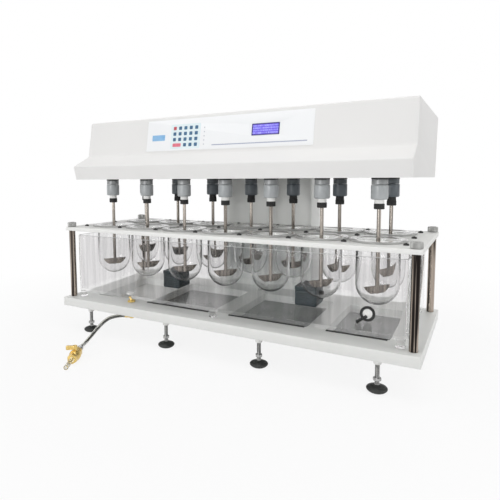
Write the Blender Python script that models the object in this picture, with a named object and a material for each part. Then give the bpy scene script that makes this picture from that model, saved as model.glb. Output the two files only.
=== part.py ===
"""Tablet dissolution tester: two rows of stirred glass vessels in a clear water bath, under a lifting head.

Blender 4.5, metres, +Z up. The origin is on the bench, under the middle of the tester's outer box,
and the control panel faces -Y. The head and everything on it slides up with the lift mast, and the
belt in the head turns every spindle with its paddle.
"""

import math

import bmesh
import bpy
from mathutils import Matrix, Vector

# Clearances, shared by every piece that touches or passes another
GAP = 0.0003
RUN_GAP = 0.0006
OVERRUN = 0.010
MERGE_DISTANCE = 0.000005
SMOOTH_ANGLE = math.radians(40.0)

# Sides of the turned pieces
VESSEL_SIDES = 12
SPINDLE_SIDES = 10
ROUND_SIDES = 12
STUD_SIDES = 8

# Station layout
STATION_PITCH = 0.145
STATIONS_IN_ROW = 7
ROW_SPACING = 0.175

# Heights of the stack, from the bench up
FOOT_HEIGHT = 0.082
BASE_HEIGHT = 0.028
POST_LENGTH = 0.223
PLATE_THICKNESS = 0.012
HEAD_GAP = 0.157
HEAD_HEIGHT = 0.191

# Margins of the plate round the stations, and of the other layers against the plate
PLATE_END_MARGIN = 0.115
PLATE_SIDE_MARGIN = 0.108
BASE_END_LIP = 0.005
BASE_FRONT_LIP = 0.016
BASE_BACK_LIP = 0.021
TANK_END_INSET = 0.029
TANK_SIDE_INSET = 0.0155
HEAD_END_INSET = 0.028
COLUMN_STANDOFF = 0.0125
COLUMN_BACK_MARGIN = 0.0385

# Base tray
BASE_EDGE_BEVEL = 0.002
COLUMN_SEAT_SIDE_MARGIN = 0.0375
COLUMN_SEAT_BACK_MARGIN = 0.0175
WINDOW_MIDDLE_BAR = 0.060
WINDOW_INNER_WIDTH = 0.235
WINDOW_SIDE_BAR = 0.050
WINDOW_END_MARGIN = 0.080
WINDOW_FRONT_MARGIN = 0.0815
WINDOW_BACK_MARGIN = 0.0865
WINDOW_POCKET = 0.022
FOOT_BOSS_RADIUS = 0.012
FOOT_BOSS_TIP_RADIUS = 0.0085
FOOT_BOSS_HEIGHT = 0.009

# Levelling feet
FEET_IN_ROW = 4
FOOT_SIDE_INSET = 0.029
FOOT_END_INSET = 0.097
FOOT_PAD_RADIUS = 0.020
FOOT_SOLE_RADIUS = 0.0135
FOOT_PAD_RISE = 0.007
FOOT_PAD_HEIGHT = 0.012
FOOT_CONE_HEIGHT = 0.018
FOOT_STUD_RADIUS = 0.0055
FOOT_NUT_RADIUS = 0.009
FOOT_NUT_BASE = 0.054
FOOT_NUT_HEIGHT = 0.007

# Bath tank
TANK_RIM_CLEARANCE = 0.015
TANK_WALL = 0.006
TANK_FLOOR = 0.008
TANK_CORNER_RADIUS = 0.022
TANK_CORNER_STEPS = 4
TANK_LEG_HEIGHT = 0.019
TANK_LEG_RADIUS = 0.011
TANK_LEG_INSET_X = 0.016
TANK_LEG_INSET_Y = 0.014

# Vessel plate, posts and knobs
PLATE_BEVEL = 0.0015
POST_RADIUS = 0.010
POST_INSET_X = 0.015
POST_INSET_Y = 0.0135
STUD_RADIUS = 0.004
STUD_LENGTH = 0.011
KNOB_RADIUS = 0.0138
KNOB_HEIGHT = 0.016
KNOB_BEVEL = 0.002
KNOB_BORE_DEPTH = 0.0125

# Vessels
VESSEL_RADIUS = 0.0535
VESSEL_WALL = 0.0028
VESSEL_HEIGHT = 0.168
VESSEL_FLANGE_RADIUS = 0.070
VESSEL_FLANGE_THICKNESS = 0.005
VESSEL_HOLE_CLEARANCE = 0.001
BOWL_STEPS = 2

# Clamps between the vessels
CLAMP_LENGTH = 0.018
CLAMP_WIDTH = 0.008
CLAMP_CORNER = 0.0025
CLAMP_HEIGHT = 0.008
CLAMP_ROOT = 0.002
CLAMP_ROW_OFFSET = 0.053

# Drive spindles, measured down from the head's underside
SPINDLE_RADIUS = 0.008
BEARING_FLANGE_RADIUS = 0.0175
BEARING_FLANGE_DROP = 0.017
BEARING_SLEEVE_RADIUS = 0.0125
BEARING_RISE = 0.010
CHUCK_RADIUS = 0.019
CHUCK_LENGTH = 0.036
CHUCK_BEVEL = 0.0025
NECK_RADIUS = 0.009
NECK_LENGTH = 0.010
COLLET_RADIUS = 0.0115
COLLET_LENGTH = 0.014
PULLEY_RADIUS = 0.022
PULLEY_WIDTH = 0.016

# Paddles: a round shaft and a blade whose sides are arcs
SHAFT_RADIUS = 0.005
BLADE_WIDTH = 0.0745
BLADE_HEIGHT = 0.019
BLADE_THICKNESS = 0.004
BLADE_ARC_RADIUS = 0.0415
BLADE_ARC_STEPS = 4
BLADE_ABOVE_BOWL = 0.025
BLADE_ANGLE = math.radians(45.0)

# Head cover, an outline in Y and Z measured from the front row and from the head's underside
SHEET = 0.0025
TOE_REACH = 0.082
NOSE_REACH = 0.092
NOSE_HEIGHT = 0.042
FOLD_REACH = 0.023
FOLD_HEIGHT = 0.076
BROW_REACH = 0.003
BACK_LEAN = 0.041
BACK_COVER_DEPTH = 0.020
NOSE_RADIUS = 0.004
FOLD_RADIUS = 0.012
BROW_RADIUS = 0.006
TAIL_RADIUS = 0.004
OUTLINE_ARC_STEPS = 3
CHASSIS_THICKNESS = 0.004

# Control panel, laid out from the fold up the leaning front face
PANEL_LENGTH = 0.543
PANEL_HEIGHT = 0.096
PANEL_RISE = 0.010
PANEL_THICKNESS = 0.0012
PANEL_CORNER_RADIUS = 0.003
DISPLAY_FROM_RIGHT = 0.1375
DISPLAY_RISE = 0.0595
DISPLAY_LENGTH = 0.082
DISPLAY_HEIGHT = 0.033
DISPLAY_THICKNESS = 0.0018
DISPLAY_BEVEL = 0.0006
KEY_COLUMNS = 5
KEY_ROWS = 4
KEY_PITCH_X = 0.0193
KEY_PITCH_Y = 0.0172
KEY_SIZE = 0.0105
KEY_HEIGHT = 0.0009
KEYPAD_FROM_LEFT = 0.1435
KEYPAD_RISE = 0.0523

# Belt drive
BELT_THICKNESS = 0.003
BELT_WIDTH = 0.012
BELT_ARC_STEPS = 4
MOTOR_BEYOND_ROW = 0.035
MOTOR_SHAFT_RADIUS = 0.005
MOTOR_SHAFT_ENGAGEMENT = 0.010
MOTOR_PULLEY_NOSE = 0.004
MOTOR_FLANGE = 0.076
MOTOR_FLANGE_THICKNESS = 0.008
MOTOR_CAN_RADIUS = 0.034
MOTOR_CAN_LENGTH = 0.090
MOTOR_LEG_RADIUS = 0.004
MOTOR_LEG_INSET = 0.007
MOTOR_LEG_HEIGHT = 0.046

# Column, lift mast and actuator
COLUMN_WIDTH = 0.325
COLUMN_DEPTH = 0.097
COLUMN_CORNER_RADIUS = 0.006
COLUMN_CORNER_STEPS = 2
COLUMN_TOP_GAP = 0.003
LIFT_TRAVEL = 0.180
MAST_OVERLAP = 0.120
MAST_WALL = 0.004
MAST_CAP = 0.006
ACTUATOR_TUBE_RADIUS = 0.019
ACTUATOR_ROD_RADIUS = 0.010
ACTUATOR_FOOT_RADIUS = 0.032
ACTUATOR_FOOT_HEIGHT = 0.012
ACTUATOR_TOP_GAP = 0.055
ACTUATOR_ROD_LENGTH = 0.270
ACTUATOR_BORE_RESERVE = 0.020
ACTUATOR_MOTOR_LENGTH = 0.095
ACTUATOR_MOTOR_WIDTH = 0.042
ACTUATOR_MOTOR_OFFSET = 0.046

# Circulators on the bath floor
CIRCULATOR_X = 0.228
CIRCULATOR_LENGTH = 0.076
CIRCULATOR_DEPTH = 0.060
CIRCULATOR_HEIGHT = 0.054
CIRCULATOR_BEVEL = 0.006
CIRCULATOR_PORT_RADIUS = 0.011
CIRCULATOR_PORT_LENGTH = 0.010

# Mains inlet and switch in the back cover
INLET_FROM_END = 0.122
INLET_RISE = 0.080
INLET_FLANGE_WIDTH = 0.058
INLET_FLANGE_HEIGHT = 0.036
INLET_FLANGE_THICKNESS = 0.003
INLET_BODY_MARGIN = 0.004
INLET_BODY_DEPTH = 0.026
SOCKET_WIDTH = 0.025
SOCKET_HEIGHT = 0.018
SOCKET_DEPTH = 0.016
SOCKET_OFFSET = 0.010
PIN_WIDTH = 0.002
PIN_HEIGHT = 0.004
PIN_LENGTH = 0.014
PIN_SPACING = 0.007
PIN_DROP = 0.003
ROCKER_OFFSET = 0.0175
ROCKER_WIDTH = 0.011
ROCKER_LENGTH = 0.016
ROCKER_CREST = 0.0035
ROCKER_VALLEY = 0.0020
ROCKER_ROOT = 0.006
ROCKER_TAPER = 0.002
ROCKER_TILT = math.radians(10.0)

# Drain fitting, hose and valve
DRAIN_FROM_END = 0.211
DRAIN_FROM_FRONT = 0.0275
DRAIN_STEM_RADIUS = 0.008
DRAIN_NUT_RADIUS = 0.015
DRAIN_NUT_HEIGHT = 0.012
DRAIN_CAP_RADIUS = 0.013
DRAIN_CAP_HEIGHT = 0.004
DRAIN_ELBOW_DROP = 0.016
DRAIN_ELBOW_RADIUS = 0.009
DRAIN_ELBOW_LENGTH = 0.022
DRAIN_BORE_RADIUS = 0.004
HOSE_RADIUS = 0.006
HOSE_POINT_STEP = 0.026
HOSE_CURVE_SAMPLES = 24
HOSE_ROUTE = [
    (-0.36400, -0.27900, 0.06100),
    (-0.37750, -0.29500, 0.05000),
    (-0.38350, -0.31800, 0.03400),
    (-0.38250, -0.34600, 0.01900),
    (-0.37500, -0.37600, 0.01050),
    (-0.36250, -0.39900, 0.01100),
]
VALVE_INLET = (-0.33960, -0.43350, 0.01620)
VALVE_DIRECTION = (0.524, -0.852, 0.0)
FERRULE_RADIUS = 0.0085
FERRULE_LENGTH = 0.026
VALVE_NUT_RADIUS = 0.0125
VALVE_NUT_LENGTH = 0.014
VALVE_BODY_RADIUS = 0.0155
VALVE_BODY_LENGTH = 0.034
VALVE_SHOULDER_SHARE = 0.25
VALVE_WAIST_RADIUS = 0.011
SPOUT_RADIUS = 0.006
SPOUT_LENGTH = 0.056
SPOUT_BORE_RADIUS = 0.004
SPOUT_BORE_DEPTH = 0.040
VALVE_STEM_RADIUS = 0.004
VALVE_STEM_LENGTH = 0.008
LEVER_HUB_RADIUS = 0.0075
LEVER_THICKNESS = 0.004
LEVER_LENGTH = 0.042
LEVER_ROOT_SHARE = 0.8
LEVER_FLARE_SHARE = 0.6
LEVER_TIP_WIDTH = 0.013
LEVER_ROOT_WIDTH = 0.007

# Sizes and places that follow from the sizes above, in Y from the front row first
ROW_LENGTH = (STATIONS_IN_ROW - 1) * STATION_PITCH
PLATE_LENGTH = ROW_LENGTH + 2 * PLATE_END_MARGIN
PLATE_DEPTH = ROW_SPACING + 2 * PLATE_SIDE_MARGIN
BASE_LENGTH = PLATE_LENGTH + 2 * BASE_END_LIP
BASE_DEPTH = PLATE_DEPTH + BASE_FRONT_LIP + BASE_BACK_LIP
TANK_LENGTH = PLATE_LENGTH - 2 * TANK_END_INSET
TANK_DEPTH = PLATE_DEPTH - 2 * TANK_SIDE_INSET
HEAD_LENGTH = PLATE_LENGTH - 2 * HEAD_END_INSET
FRONT_REACH = PLATE_SIDE_MARGIN + BASE_FRONT_LIP
COLUMN_BACK_REACH = ROW_SPACING + PLATE_SIDE_MARGIN + COLUMN_STANDOFF + COLUMN_DEPTH
BACK_BOTTOM_REACH = COLUMN_BACK_REACH + COLUMN_BACK_MARGIN
BACK_REACH = BACK_BOTTOM_REACH + BACK_LEAN
FRONT_ROW_Y = (FRONT_REACH - BACK_REACH) / 2
REAR_ROW_Y = FRONT_ROW_Y + ROW_SPACING
BATH_Y = (FRONT_ROW_Y + REAR_ROW_Y) / 2
BASE_FRONT_Y = FRONT_ROW_Y - FRONT_REACH
BASE_BACK_Y = BASE_FRONT_Y + BASE_DEPTH
COLUMN_BACK_Y = FRONT_ROW_Y + COLUMN_BACK_REACH
COLUMN_Y = COLUMN_BACK_Y - COLUMN_DEPTH / 2
DRAIN_X = DRAIN_FROM_END - TANK_LENGTH / 2
DRAIN_Y = BATH_Y - TANK_DEPTH / 2 + DRAIN_FROM_FRONT
MOTOR_X = ROW_LENGTH / 2 + MOTOR_BEYOND_ROW
INLET_X = INLET_FROM_END - HEAD_LENGTH / 2
KEYPAD_X = KEYPAD_FROM_LEFT - PANEL_LENGTH / 2
DISPLAY_X = PANEL_LENGTH / 2 - DISPLAY_FROM_RIGHT

# Heights that follow
BASE_TOP_Z = FOOT_HEIGHT + BASE_HEIGHT
PLATE_Z = BASE_TOP_Z + POST_LENGTH
PLATE_TOP_Z = PLATE_Z + PLATE_THICKNESS
HEAD_Z = PLATE_TOP_Z + HEAD_GAP
TANK_FLOOR_Z = BASE_TOP_Z + TANK_LEG_HEIGHT
TANK_RIM_Z = PLATE_Z - TANK_RIM_CLEARANCE
VESSEL_RIM_Z = PLATE_TOP_Z + GAP + VESSEL_FLANGE_THICKNESS
BOWL_BOTTOM_Z = VESSEL_RIM_Z - VESSEL_HEIGHT + VESSEL_WALL
CHASSIS_TOP_Z = HEAD_Z + CHASSIS_THICKNESS
PULLEY_Z = CHASSIS_TOP_Z + BEARING_RISE + RUN_GAP
BELT_Z = PULLEY_Z + (PULLEY_WIDTH - BELT_WIDTH) / 2

MATERIALS = {
    "white_paint": ((0.80, 0.80, 0.78), 0.45, 0.0),
    "white_board": ((0.82, 0.82, 0.80), 0.40, 0.0),
    "panel_film": ((0.88, 0.89, 0.90), 0.35, 0.0),
    "key_film": ((0.03, 0.08, 0.25), 0.40, 0.0),
    "display": ((0.20, 0.22, 0.75), 0.15, 0.0),
    "clear_plastic": ((0.86, 0.90, 0.90), 0.05, 0.0),
    "glass": ((0.88, 0.93, 0.92), 0.03, 0.0),
    "stainless": ((0.55, 0.54, 0.52), 0.25, 1.0),
    "dark_box": ((0.02, 0.03, 0.05), 0.40, 0.0),
    "grey_plastic": ((0.62, 0.62, 0.60), 0.45, 0.0),
    "black_plastic": ((0.02, 0.02, 0.02), 0.50, 0.0),
    "column_grey": ((0.48, 0.50, 0.50), 0.50, 0.0),
    "brass": ((0.72, 0.52, 0.18), 0.30, 1.0),
    "hose_plastic": ((0.78, 0.80, 0.80), 0.20, 0.0),
    "cast_alloy": ((0.45, 0.46, 0.47), 0.45, 1.0),
    "belt_rubber": ((0.03, 0.03, 0.03), 0.70, 0.0),
}


# Scene and object helpers

def clear_scene():
    """Removes every object that the opened file holds."""
    for old in list(bpy.data.objects):
        bpy.data.objects.remove(old, do_unlink=True)


def get_material(name):
    """Returns the named material, made on first use."""
    material = bpy.data.materials.get(name)
    if material is None:
        colour, roughness, metallic = MATERIALS[name]
        material = bpy.data.materials.new(name)
        material.use_nodes = True
        shader = material.node_tree.nodes["Principled BSDF"]
        shader.inputs["Base Color"].default_value = (*colour, 1.0)
        shader.inputs["Roughness"].default_value = roughness
        shader.inputs["Metallic"].default_value = metallic
        material.diffuse_color = (*colour, 1.0)
    return material


def add_empty(name, location):
    """Adds an empty that carries the pieces of a moving group."""
    empty = bpy.data.objects.new(name, None)
    empty.location = location
    bpy.context.scene.collection.objects.link(empty)
    return empty


def finish(name, bm, material, location=(0, 0, 0), rotation=None, parent=None, smooth=False):
    """Turns a bmesh into an object at its place in the world, under its parent."""
    if smooth:
        mesh = shaded_mesh(name, bm)
    else:
        mesh = bpy.data.meshes.new(name)
        bm.to_mesh(mesh)
        bm.free()
    return place(name, mesh, material, location, rotation, parent)


def shaded_mesh(name, bm):
    """Turns a bmesh into a mesh that is shaded smooth up to its sharp edges."""
    mesh = bpy.data.meshes.new(name)
    bm.to_mesh(mesh)
    bm.free()
    mesh.shade_smooth()
    mesh.set_sharp_from_angle(angle=SMOOTH_ANGLE)
    return mesh


def place(name, mesh, material, location=(0, 0, 0), rotation=None, parent=None):
    """Links an object that uses a mesh, at a place given in the world."""
    obj = bpy.data.objects.new(name, mesh)
    if not mesh.materials:
        mesh.materials.append(get_material(material))
    bpy.context.scene.collection.objects.link(obj)
    obj.location = Vector(location)
    if rotation is not None:
        obj.rotation_euler = rotation
    if parent is not None:
        obj.parent = parent
        obj.location = Vector(location) - parent.location
    return obj


def add_tool(name, mesh):
    """Adds an object that only shapes others, and isn't a piece itself."""
    tool = bpy.data.objects.new(name, mesh)
    bpy.context.scene.collection.objects.link(tool)
    tool.hide_render = True
    tool.display_type = "WIRE"
    return tool


def apply_shape(target, bm, name, operation):
    """Cuts or joins the shape in a bmesh, given in world places, with an object."""
    mesh = bpy.data.meshes.new(name)
    bm.to_mesh(mesh)
    bm.free()
    boolean(target, add_tool(name, mesh), operation)


def cut(target, bm, name):
    """Cuts a shape out of an object."""
    apply_shape(target, bm, name, "DIFFERENCE")


def boolean(target, tool, operation):
    """Adds an exact Boolean modifier."""
    modifier = target.modifiers.new(operation.lower(), "BOOLEAN")
    modifier.solver = "EXACT"
    modifier.operation = operation
    modifier.object = tool


def join(target, bm, name):
    """Unites a shape with an object."""
    apply_shape(target, bm, name, "UNION")


def bevel(obj, width):
    """Bevels the sharp edges of an object."""
    modifier = obj.modifiers.new("bevel", "BEVEL")
    modifier.width = width
    modifier.segments = 1
    modifier.limit_method = "ANGLE"
    modifier.angle_limit = SMOOTH_ANGLE


# Shape helpers, each adding one closed shape to a bmesh

def add_box(bm, low, high):
    """Adds a box between two corners."""
    low = Vector(low)
    high = Vector(high)
    size = high - low
    matrix = Matrix.Translation((low + high) / 2) @ Matrix.Diagonal((*size, 1.0))
    bmesh.ops.create_cube(bm, size=1.0, matrix=matrix)


def add_prism(bm, outline, start, end, frame=None):
    """Extrudes a closed outline of (u, v) points from w = start to w = end.

    The frame maps u, v and w to the bmesh's axes. Without one they are X, Y and Z.
    """
    matrix = frame if frame is not None else Matrix.Identity(4)
    verts = [bm.verts.new(matrix @ Vector((u, v, start))) for u, v in outline]
    face = bm.faces.new(verts)
    direction = matrix.to_3x3() @ Vector((0, 0, end - start))
    made = bmesh.ops.extrude_face_region(bm, geom=[face])
    top = [item for item in made["geom"] if isinstance(item, bmesh.types.BMVert)]
    bmesh.ops.translate(bm, verts=top, vec=direction)
    shell = {linked for vert in verts + top for linked in vert.link_faces}
    bmesh.ops.recalc_face_normals(bm, faces=list(shell))


def add_lathe(bm, profile, sides, at=(0, 0, 0)):
    """Turns a profile of (radius, height) points about Z. Points at radius 0 close on the axis."""
    verts = [bm.verts.new((radius, 0.0, height)) for radius, height in profile]
    edges = [bm.edges.new(pair) for pair in zip(verts, verts[1:])]
    if profile[0][0] > 0 or profile[-1][0] > 0:
        edges.append(bm.edges.new((verts[-1], verts[0])))
    before = set(bm.verts) - set(verts)
    bmesh.ops.spin(
        bm, geom=verts + edges, cent=(0, 0, 0), axis=(0, 0, 1), dvec=(0, 0, 0),
        angle=math.tau, steps=sides, use_merge=True, use_duplicate=False,
    )
    turned = [vert for vert in bm.verts if vert not in before]
    bmesh.ops.remove_doubles(bm, verts=turned, dist=MERGE_DISTANCE)
    turned = [vert for vert in bm.verts if vert not in before]
    shell = {face for vert in turned for face in vert.link_faces}
    bmesh.ops.recalc_face_normals(bm, faces=list(shell))
    bmesh.ops.translate(bm, verts=turned, vec=Vector(at))


def add_cylinder(bm, radius, low, high, sides, at=(0, 0, 0)):
    """Adds an upright cylinder from height low to height high."""
    add_lathe(bm, [(0, low), (radius, low), (radius, high), (0, high)], sides, at)


def clear_radius(radius, clearance, sides):
    """Gives the corner radius of a many-sided hole whose flats clear a round of this radius."""
    return (radius + clearance) / math.cos(math.pi / sides)


def rectangle(width, depth, centre=(0, 0)):
    """Gives the corners of a rectangle, anticlockwise."""
    x, y = centre
    left, right = x - width / 2, x + width / 2
    front, back = y - depth / 2, y + depth / 2
    return [(left, front), (right, front), (right, back), (left, back)]


def rounded_outline(points, radii, steps):
    """Rounds each corner of a closed outline with an arc of its own radius."""
    rounded = []
    count = len(points)
    for index, radius in enumerate(radii):
        corner = Vector(points[index])
        if radius <= 0:
            rounded.append(tuple(corner))
            continue
        back = (Vector(points[index - 1]) - corner).normalized()
        ahead = (Vector(points[(index + 1) % count]) - corner).normalized()
        half_angle = back.angle(ahead) / 2
        centre = corner + (back + ahead).normalized() * (radius / math.sin(half_angle))
        start = corner + back * (radius / math.tan(half_angle)) - centre
        end = corner + ahead * (radius / math.tan(half_angle)) - centre
        for step in range(steps + 1):
            arm = start.lerp(end, step / steps).normalized() * radius
            if 0 < step < steps:
                share = step / steps
                turn = start.angle(end)
                arm = (start * math.sin((1 - share) * turn) + end * math.sin(share * turn)) / math.sin(turn)
            rounded.append(tuple(centre + arm))
    return rounded


def offset_outline(points, offsets):
    """Moves each edge of an anticlockwise or clockwise outline inwards by its own offset.

    Edge i runs from point i to point i + 1. The new corners are where the moved edges meet.
    """
    count = len(points)
    area = sum(
        points[i][0] * points[(i + 1) % count][1] - points[(i + 1) % count][0] * points[i][1]
        for i in range(count)
    )
    side = 1.0 if area > 0 else -1.0
    lines = []
    for index in range(count):
        start = Vector(points[index])
        along = (Vector(points[(index + 1) % count]) - start).normalized()
        inward = Vector((-along.y, along.x)) * side
        lines.append((start + inward * offsets[index], along))
    corners = []
    for index in range(count):
        start_a, along_a = lines[index - 1]
        start_b, along_b = lines[index]
        cross = along_a.x * along_b.y - along_a.y * along_b.x
        delta = start_b - start_a
        reach = (delta.x * along_b.y - delta.y * along_b.x) / cross
        corners.append(tuple(start_a + along_a * reach))
    return corners


# Station helpers

def station_x(index):
    """Gives the X of a station, counted from the left."""
    return (index - (STATIONS_IN_ROW - 1) / 2) * STATION_PITCH


def stations():
    """Yields the row name, number, X and Y of every station."""
    for row, y in (("front", FRONT_ROW_Y), ("rear", REAR_ROW_Y)):
        for index in range(STATIONS_IN_ROW):
            yield row, index + 1, station_x(index), y


def clamp_places():
    """Yields the X and Y of each clamp: in front of the vessels, between the rows and behind them."""
    for y in (FRONT_ROW_Y - CLAMP_ROW_OFFSET, BATH_Y, REAR_ROW_Y + CLAMP_ROW_OFFSET):
        for index in range(STATIONS_IN_ROW + 1):
            yield station_x(index) - STATION_PITCH / 2, y


def foot_places():
    """Yields the X and Y of each levelling foot."""
    outer_x = BASE_LENGTH / 2 - FOOT_END_INSET
    spacing = 2 * outer_x / (FEET_IN_ROW - 1)
    for y in (BASE_FRONT_Y + FOOT_SIDE_INSET, BASE_BACK_Y - FOOT_SIDE_INSET):
        for index in range(FEET_IN_ROW):
            yield index * spacing - outer_x, y


def post_places():
    """Yields the name, X and Y of each corner post."""
    half_length = PLATE_LENGTH / 2 - POST_INSET_X
    half_depth = PLATE_DEPTH / 2 - POST_INSET_Y
    for end, y in (("front", BATH_Y - half_depth), ("rear", BATH_Y + half_depth)):
        for side, x in (("left", -half_length), ("right", half_length)):
            yield f"{end}_{side}", x, y


def yz_frame():
    """Maps an outline in (Y, Z) extruded along X."""
    return Matrix(((0, 0, 1, 0), (1, 0, 0, 0), (0, 1, 0, 0), (0, 0, 0, 1)))


# Stand and bath

def window_spans():
    """Yields the X span of each window pocket in the base."""
    inner = (WINDOW_MIDDLE_BAR / 2, WINDOW_MIDDLE_BAR / 2 + WINDOW_INNER_WIDTH)
    outer = (inner[1] + WINDOW_SIDE_BAR, BASE_LENGTH / 2 - WINDOW_END_MARGIN)
    for near, far in (inner, outer):
        yield -far, -near
        yield near, far


def foot_profile():
    """Gives a levelling foot's profile: domed pad, stud, lock nut and the tray's boss that holds it."""
    boss_low = FOOT_HEIGHT - FOOT_BOSS_HEIGHT
    nut_top = FOOT_NUT_BASE + FOOT_NUT_HEIGHT
    root = FOOT_HEIGHT + BASE_EDGE_BEVEL
    return [
        (0, 0), (FOOT_SOLE_RADIUS, 0), (FOOT_PAD_RADIUS, FOOT_PAD_RISE), (FOOT_PAD_RADIUS, FOOT_PAD_HEIGHT),
        (FOOT_STUD_RADIUS, FOOT_CONE_HEIGHT), (FOOT_STUD_RADIUS, FOOT_NUT_BASE),
        (FOOT_NUT_RADIUS, FOOT_NUT_BASE), (FOOT_NUT_RADIUS, nut_top), (FOOT_STUD_RADIUS, nut_top),
        (FOOT_STUD_RADIUS, boss_low), (FOOT_BOSS_TIP_RADIUS, boss_low), (FOOT_BOSS_RADIUS, FOOT_HEIGHT),
        (FOOT_BOSS_RADIUS, root), (0, root),
    ]


def build_base_tray():
    """Builds the white tray with its window pockets and column seat, and the eight feet screwed into it."""
    half = BASE_LENGTH / 2
    seat = COLUMN_WIDTH / 2 + COLUMN_SEAT_SIDE_MARGIN
    seat_back = COLUMN_BACK_Y + COLUMN_SEAT_BACK_MARGIN
    outline = [
        (-half, BASE_FRONT_Y), (half, BASE_FRONT_Y), (half, BASE_BACK_Y), (seat, BASE_BACK_Y),
        (seat, seat_back), (-seat, seat_back), (-seat, BASE_BACK_Y), (-half, BASE_BACK_Y),
    ]
    bm = bmesh.new()
    add_prism(bm, outline, FOOT_HEIGHT, BASE_TOP_Z)
    tray = finish("base_tray", bm, "white_board")
    bevel(tray, BASE_EDGE_BEVEL)
    feet = bmesh.new()
    for x, y in foot_places():
        add_lathe(feet, foot_profile(), STUD_SIDES, (x, y, 0))
    join(tray, feet, "levelling_feet")
    openings = bmesh.new()
    for low_x, high_x in window_spans():
        add_box(
            openings,
            (low_x, BASE_FRONT_Y + WINDOW_FRONT_MARGIN, BASE_TOP_Z - WINDOW_POCKET),
            (high_x, BASE_BACK_Y - WINDOW_BACK_MARGIN, BASE_TOP_Z + OVERRUN),
        )
    add_cylinder(
        openings, clear_radius(DRAIN_STEM_RADIUS, GAP, ROUND_SIDES), FOOT_HEIGHT - OVERRUN,
        BASE_TOP_Z + OVERRUN, ROUND_SIDES, (DRAIN_X, DRAIN_Y, 0),
    )
    cut(tray, openings, "tray_openings")


def build_bath_tank():
    """Builds the clear moulded tank on its six feet."""
    radii = [TANK_CORNER_RADIUS] * 4
    inner_radii = [TANK_CORNER_RADIUS - TANK_WALL] * 4
    outer = rounded_outline(rectangle(TANK_LENGTH, TANK_DEPTH, (0, BATH_Y)), radii, TANK_CORNER_STEPS)
    inner_box = rectangle(TANK_LENGTH - 2 * TANK_WALL, TANK_DEPTH - 2 * TANK_WALL, (0, BATH_Y))
    inner = rounded_outline(inner_box, inner_radii, TANK_CORNER_STEPS)
    rim = TANK_RIM_Z
    bm = bmesh.new()
    add_prism(bm, outer, TANK_FLOOR_Z, rim)
    tank = finish("bath_tank", bm, "clear_plastic")
    legs = bmesh.new()
    leg_x = TANK_LENGTH / 2 - TANK_LEG_INSET_X
    leg_y = TANK_DEPTH / 2 - TANK_LEG_INSET_Y
    for x in (-leg_x, 0, leg_x):
        for y in (BATH_Y - leg_y, BATH_Y + leg_y):
            add_cylinder(
                legs, TANK_LEG_RADIUS, BASE_TOP_Z + GAP, TANK_FLOOR_Z + TANK_FLOOR / 2, ROUND_SIDES,
                (x, y, 0),
            )
    join(tank, legs, "tank_legs")
    hollow = bmesh.new()
    add_prism(hollow, inner, TANK_FLOOR_Z + TANK_FLOOR, rim + OVERRUN)
    cut(tank, hollow, "tank_hollow")
    drain = bmesh.new()
    stem = clear_radius(DRAIN_STEM_RADIUS, GAP, ROUND_SIDES)
    add_cylinder(
        drain, stem, TANK_FLOOR_Z - OVERRUN / 2, TANK_FLOOR_Z + TANK_FLOOR + OVERRUN, ROUND_SIDES,
        (DRAIN_X, DRAIN_Y, 0),
    )
    cut(tank, drain, "tank_drain_hole")


def build_vessel_plate():
    """Builds the white board with a hole for each vessel and each stud, and the clamps that stand on it."""
    bm = bmesh.new()
    half_length = PLATE_LENGTH / 2
    half_depth = PLATE_DEPTH / 2
    add_box(
        bm, (-half_length, BATH_Y - half_depth, PLATE_Z), (half_length, BATH_Y + half_depth, PLATE_TOP_Z),
    )
    plate = finish("vessel_plate", bm, "white_board")
    bevel(plate, PLATE_BEVEL)
    clamps = bmesh.new()
    outline = rounded_outline(rectangle(CLAMP_LENGTH, CLAMP_WIDTH), [CLAMP_CORNER] * 4, 1)
    for x, y in clamp_places():
        clamp = [(x + u, y + v) for u, v in outline]
        add_prism(clamps, clamp, PLATE_TOP_Z - CLAMP_ROOT, PLATE_TOP_Z + CLAMP_HEIGHT)
    join(plate, clamps, "vessel_clamps")
    holes = bmesh.new()
    low = PLATE_Z - OVERRUN
    high = PLATE_TOP_Z + OVERRUN
    for _, _, x, y in stations():
        add_cylinder(holes, VESSEL_RADIUS + VESSEL_HOLE_CLEARANCE, low, high, VESSEL_SIDES, (x, y, 0))
    for _, x, y in post_places():
        add_cylinder(holes, clear_radius(STUD_RADIUS, GAP, STUD_SIDES), low, high, STUD_SIDES, (x, y, 0))
    cut(plate, holes, "plate_holes")


def build_corner_posts():
    """Builds the four stainless posts with the studs that hold the plate."""
    length = POST_LENGTH - 2 * GAP
    stud_top = length + GAP + PLATE_THICKNESS + STUD_LENGTH
    profile = [
        (0, 0), (POST_RADIUS, 0), (POST_RADIUS, length), (STUD_RADIUS, length), (STUD_RADIUS, stud_top),
        (0, stud_top),
    ]
    for name, x, y in post_places():
        bm = bmesh.new()
        add_lathe(bm, profile, STUD_SIDES)
        finish(f"corner_post_{name}", bm, "stainless", (x, y, BASE_TOP_Z + GAP), smooth=True)


def build_plate_knobs():
    """Builds the four knurled nuts that hold the plate down, each on its own axis."""
    bore = clear_radius(STUD_RADIUS, GAP, ROUND_SIDES)
    profile = [
        (bore, 0), (KNOB_RADIUS, 0), (KNOB_RADIUS, KNOB_HEIGHT - KNOB_BEVEL),
        (KNOB_RADIUS - KNOB_BEVEL, KNOB_HEIGHT), (0, KNOB_HEIGHT), (0, KNOB_BORE_DEPTH),
        (bore, KNOB_BORE_DEPTH),
    ]
    for name, x, y in post_places():
        bm = bmesh.new()
        add_lathe(bm, profile, ROUND_SIDES)
        finish(f"plate_knob_{name}", bm, "grey_plastic", (x, y, PLATE_TOP_Z + GAP), smooth=True)


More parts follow.
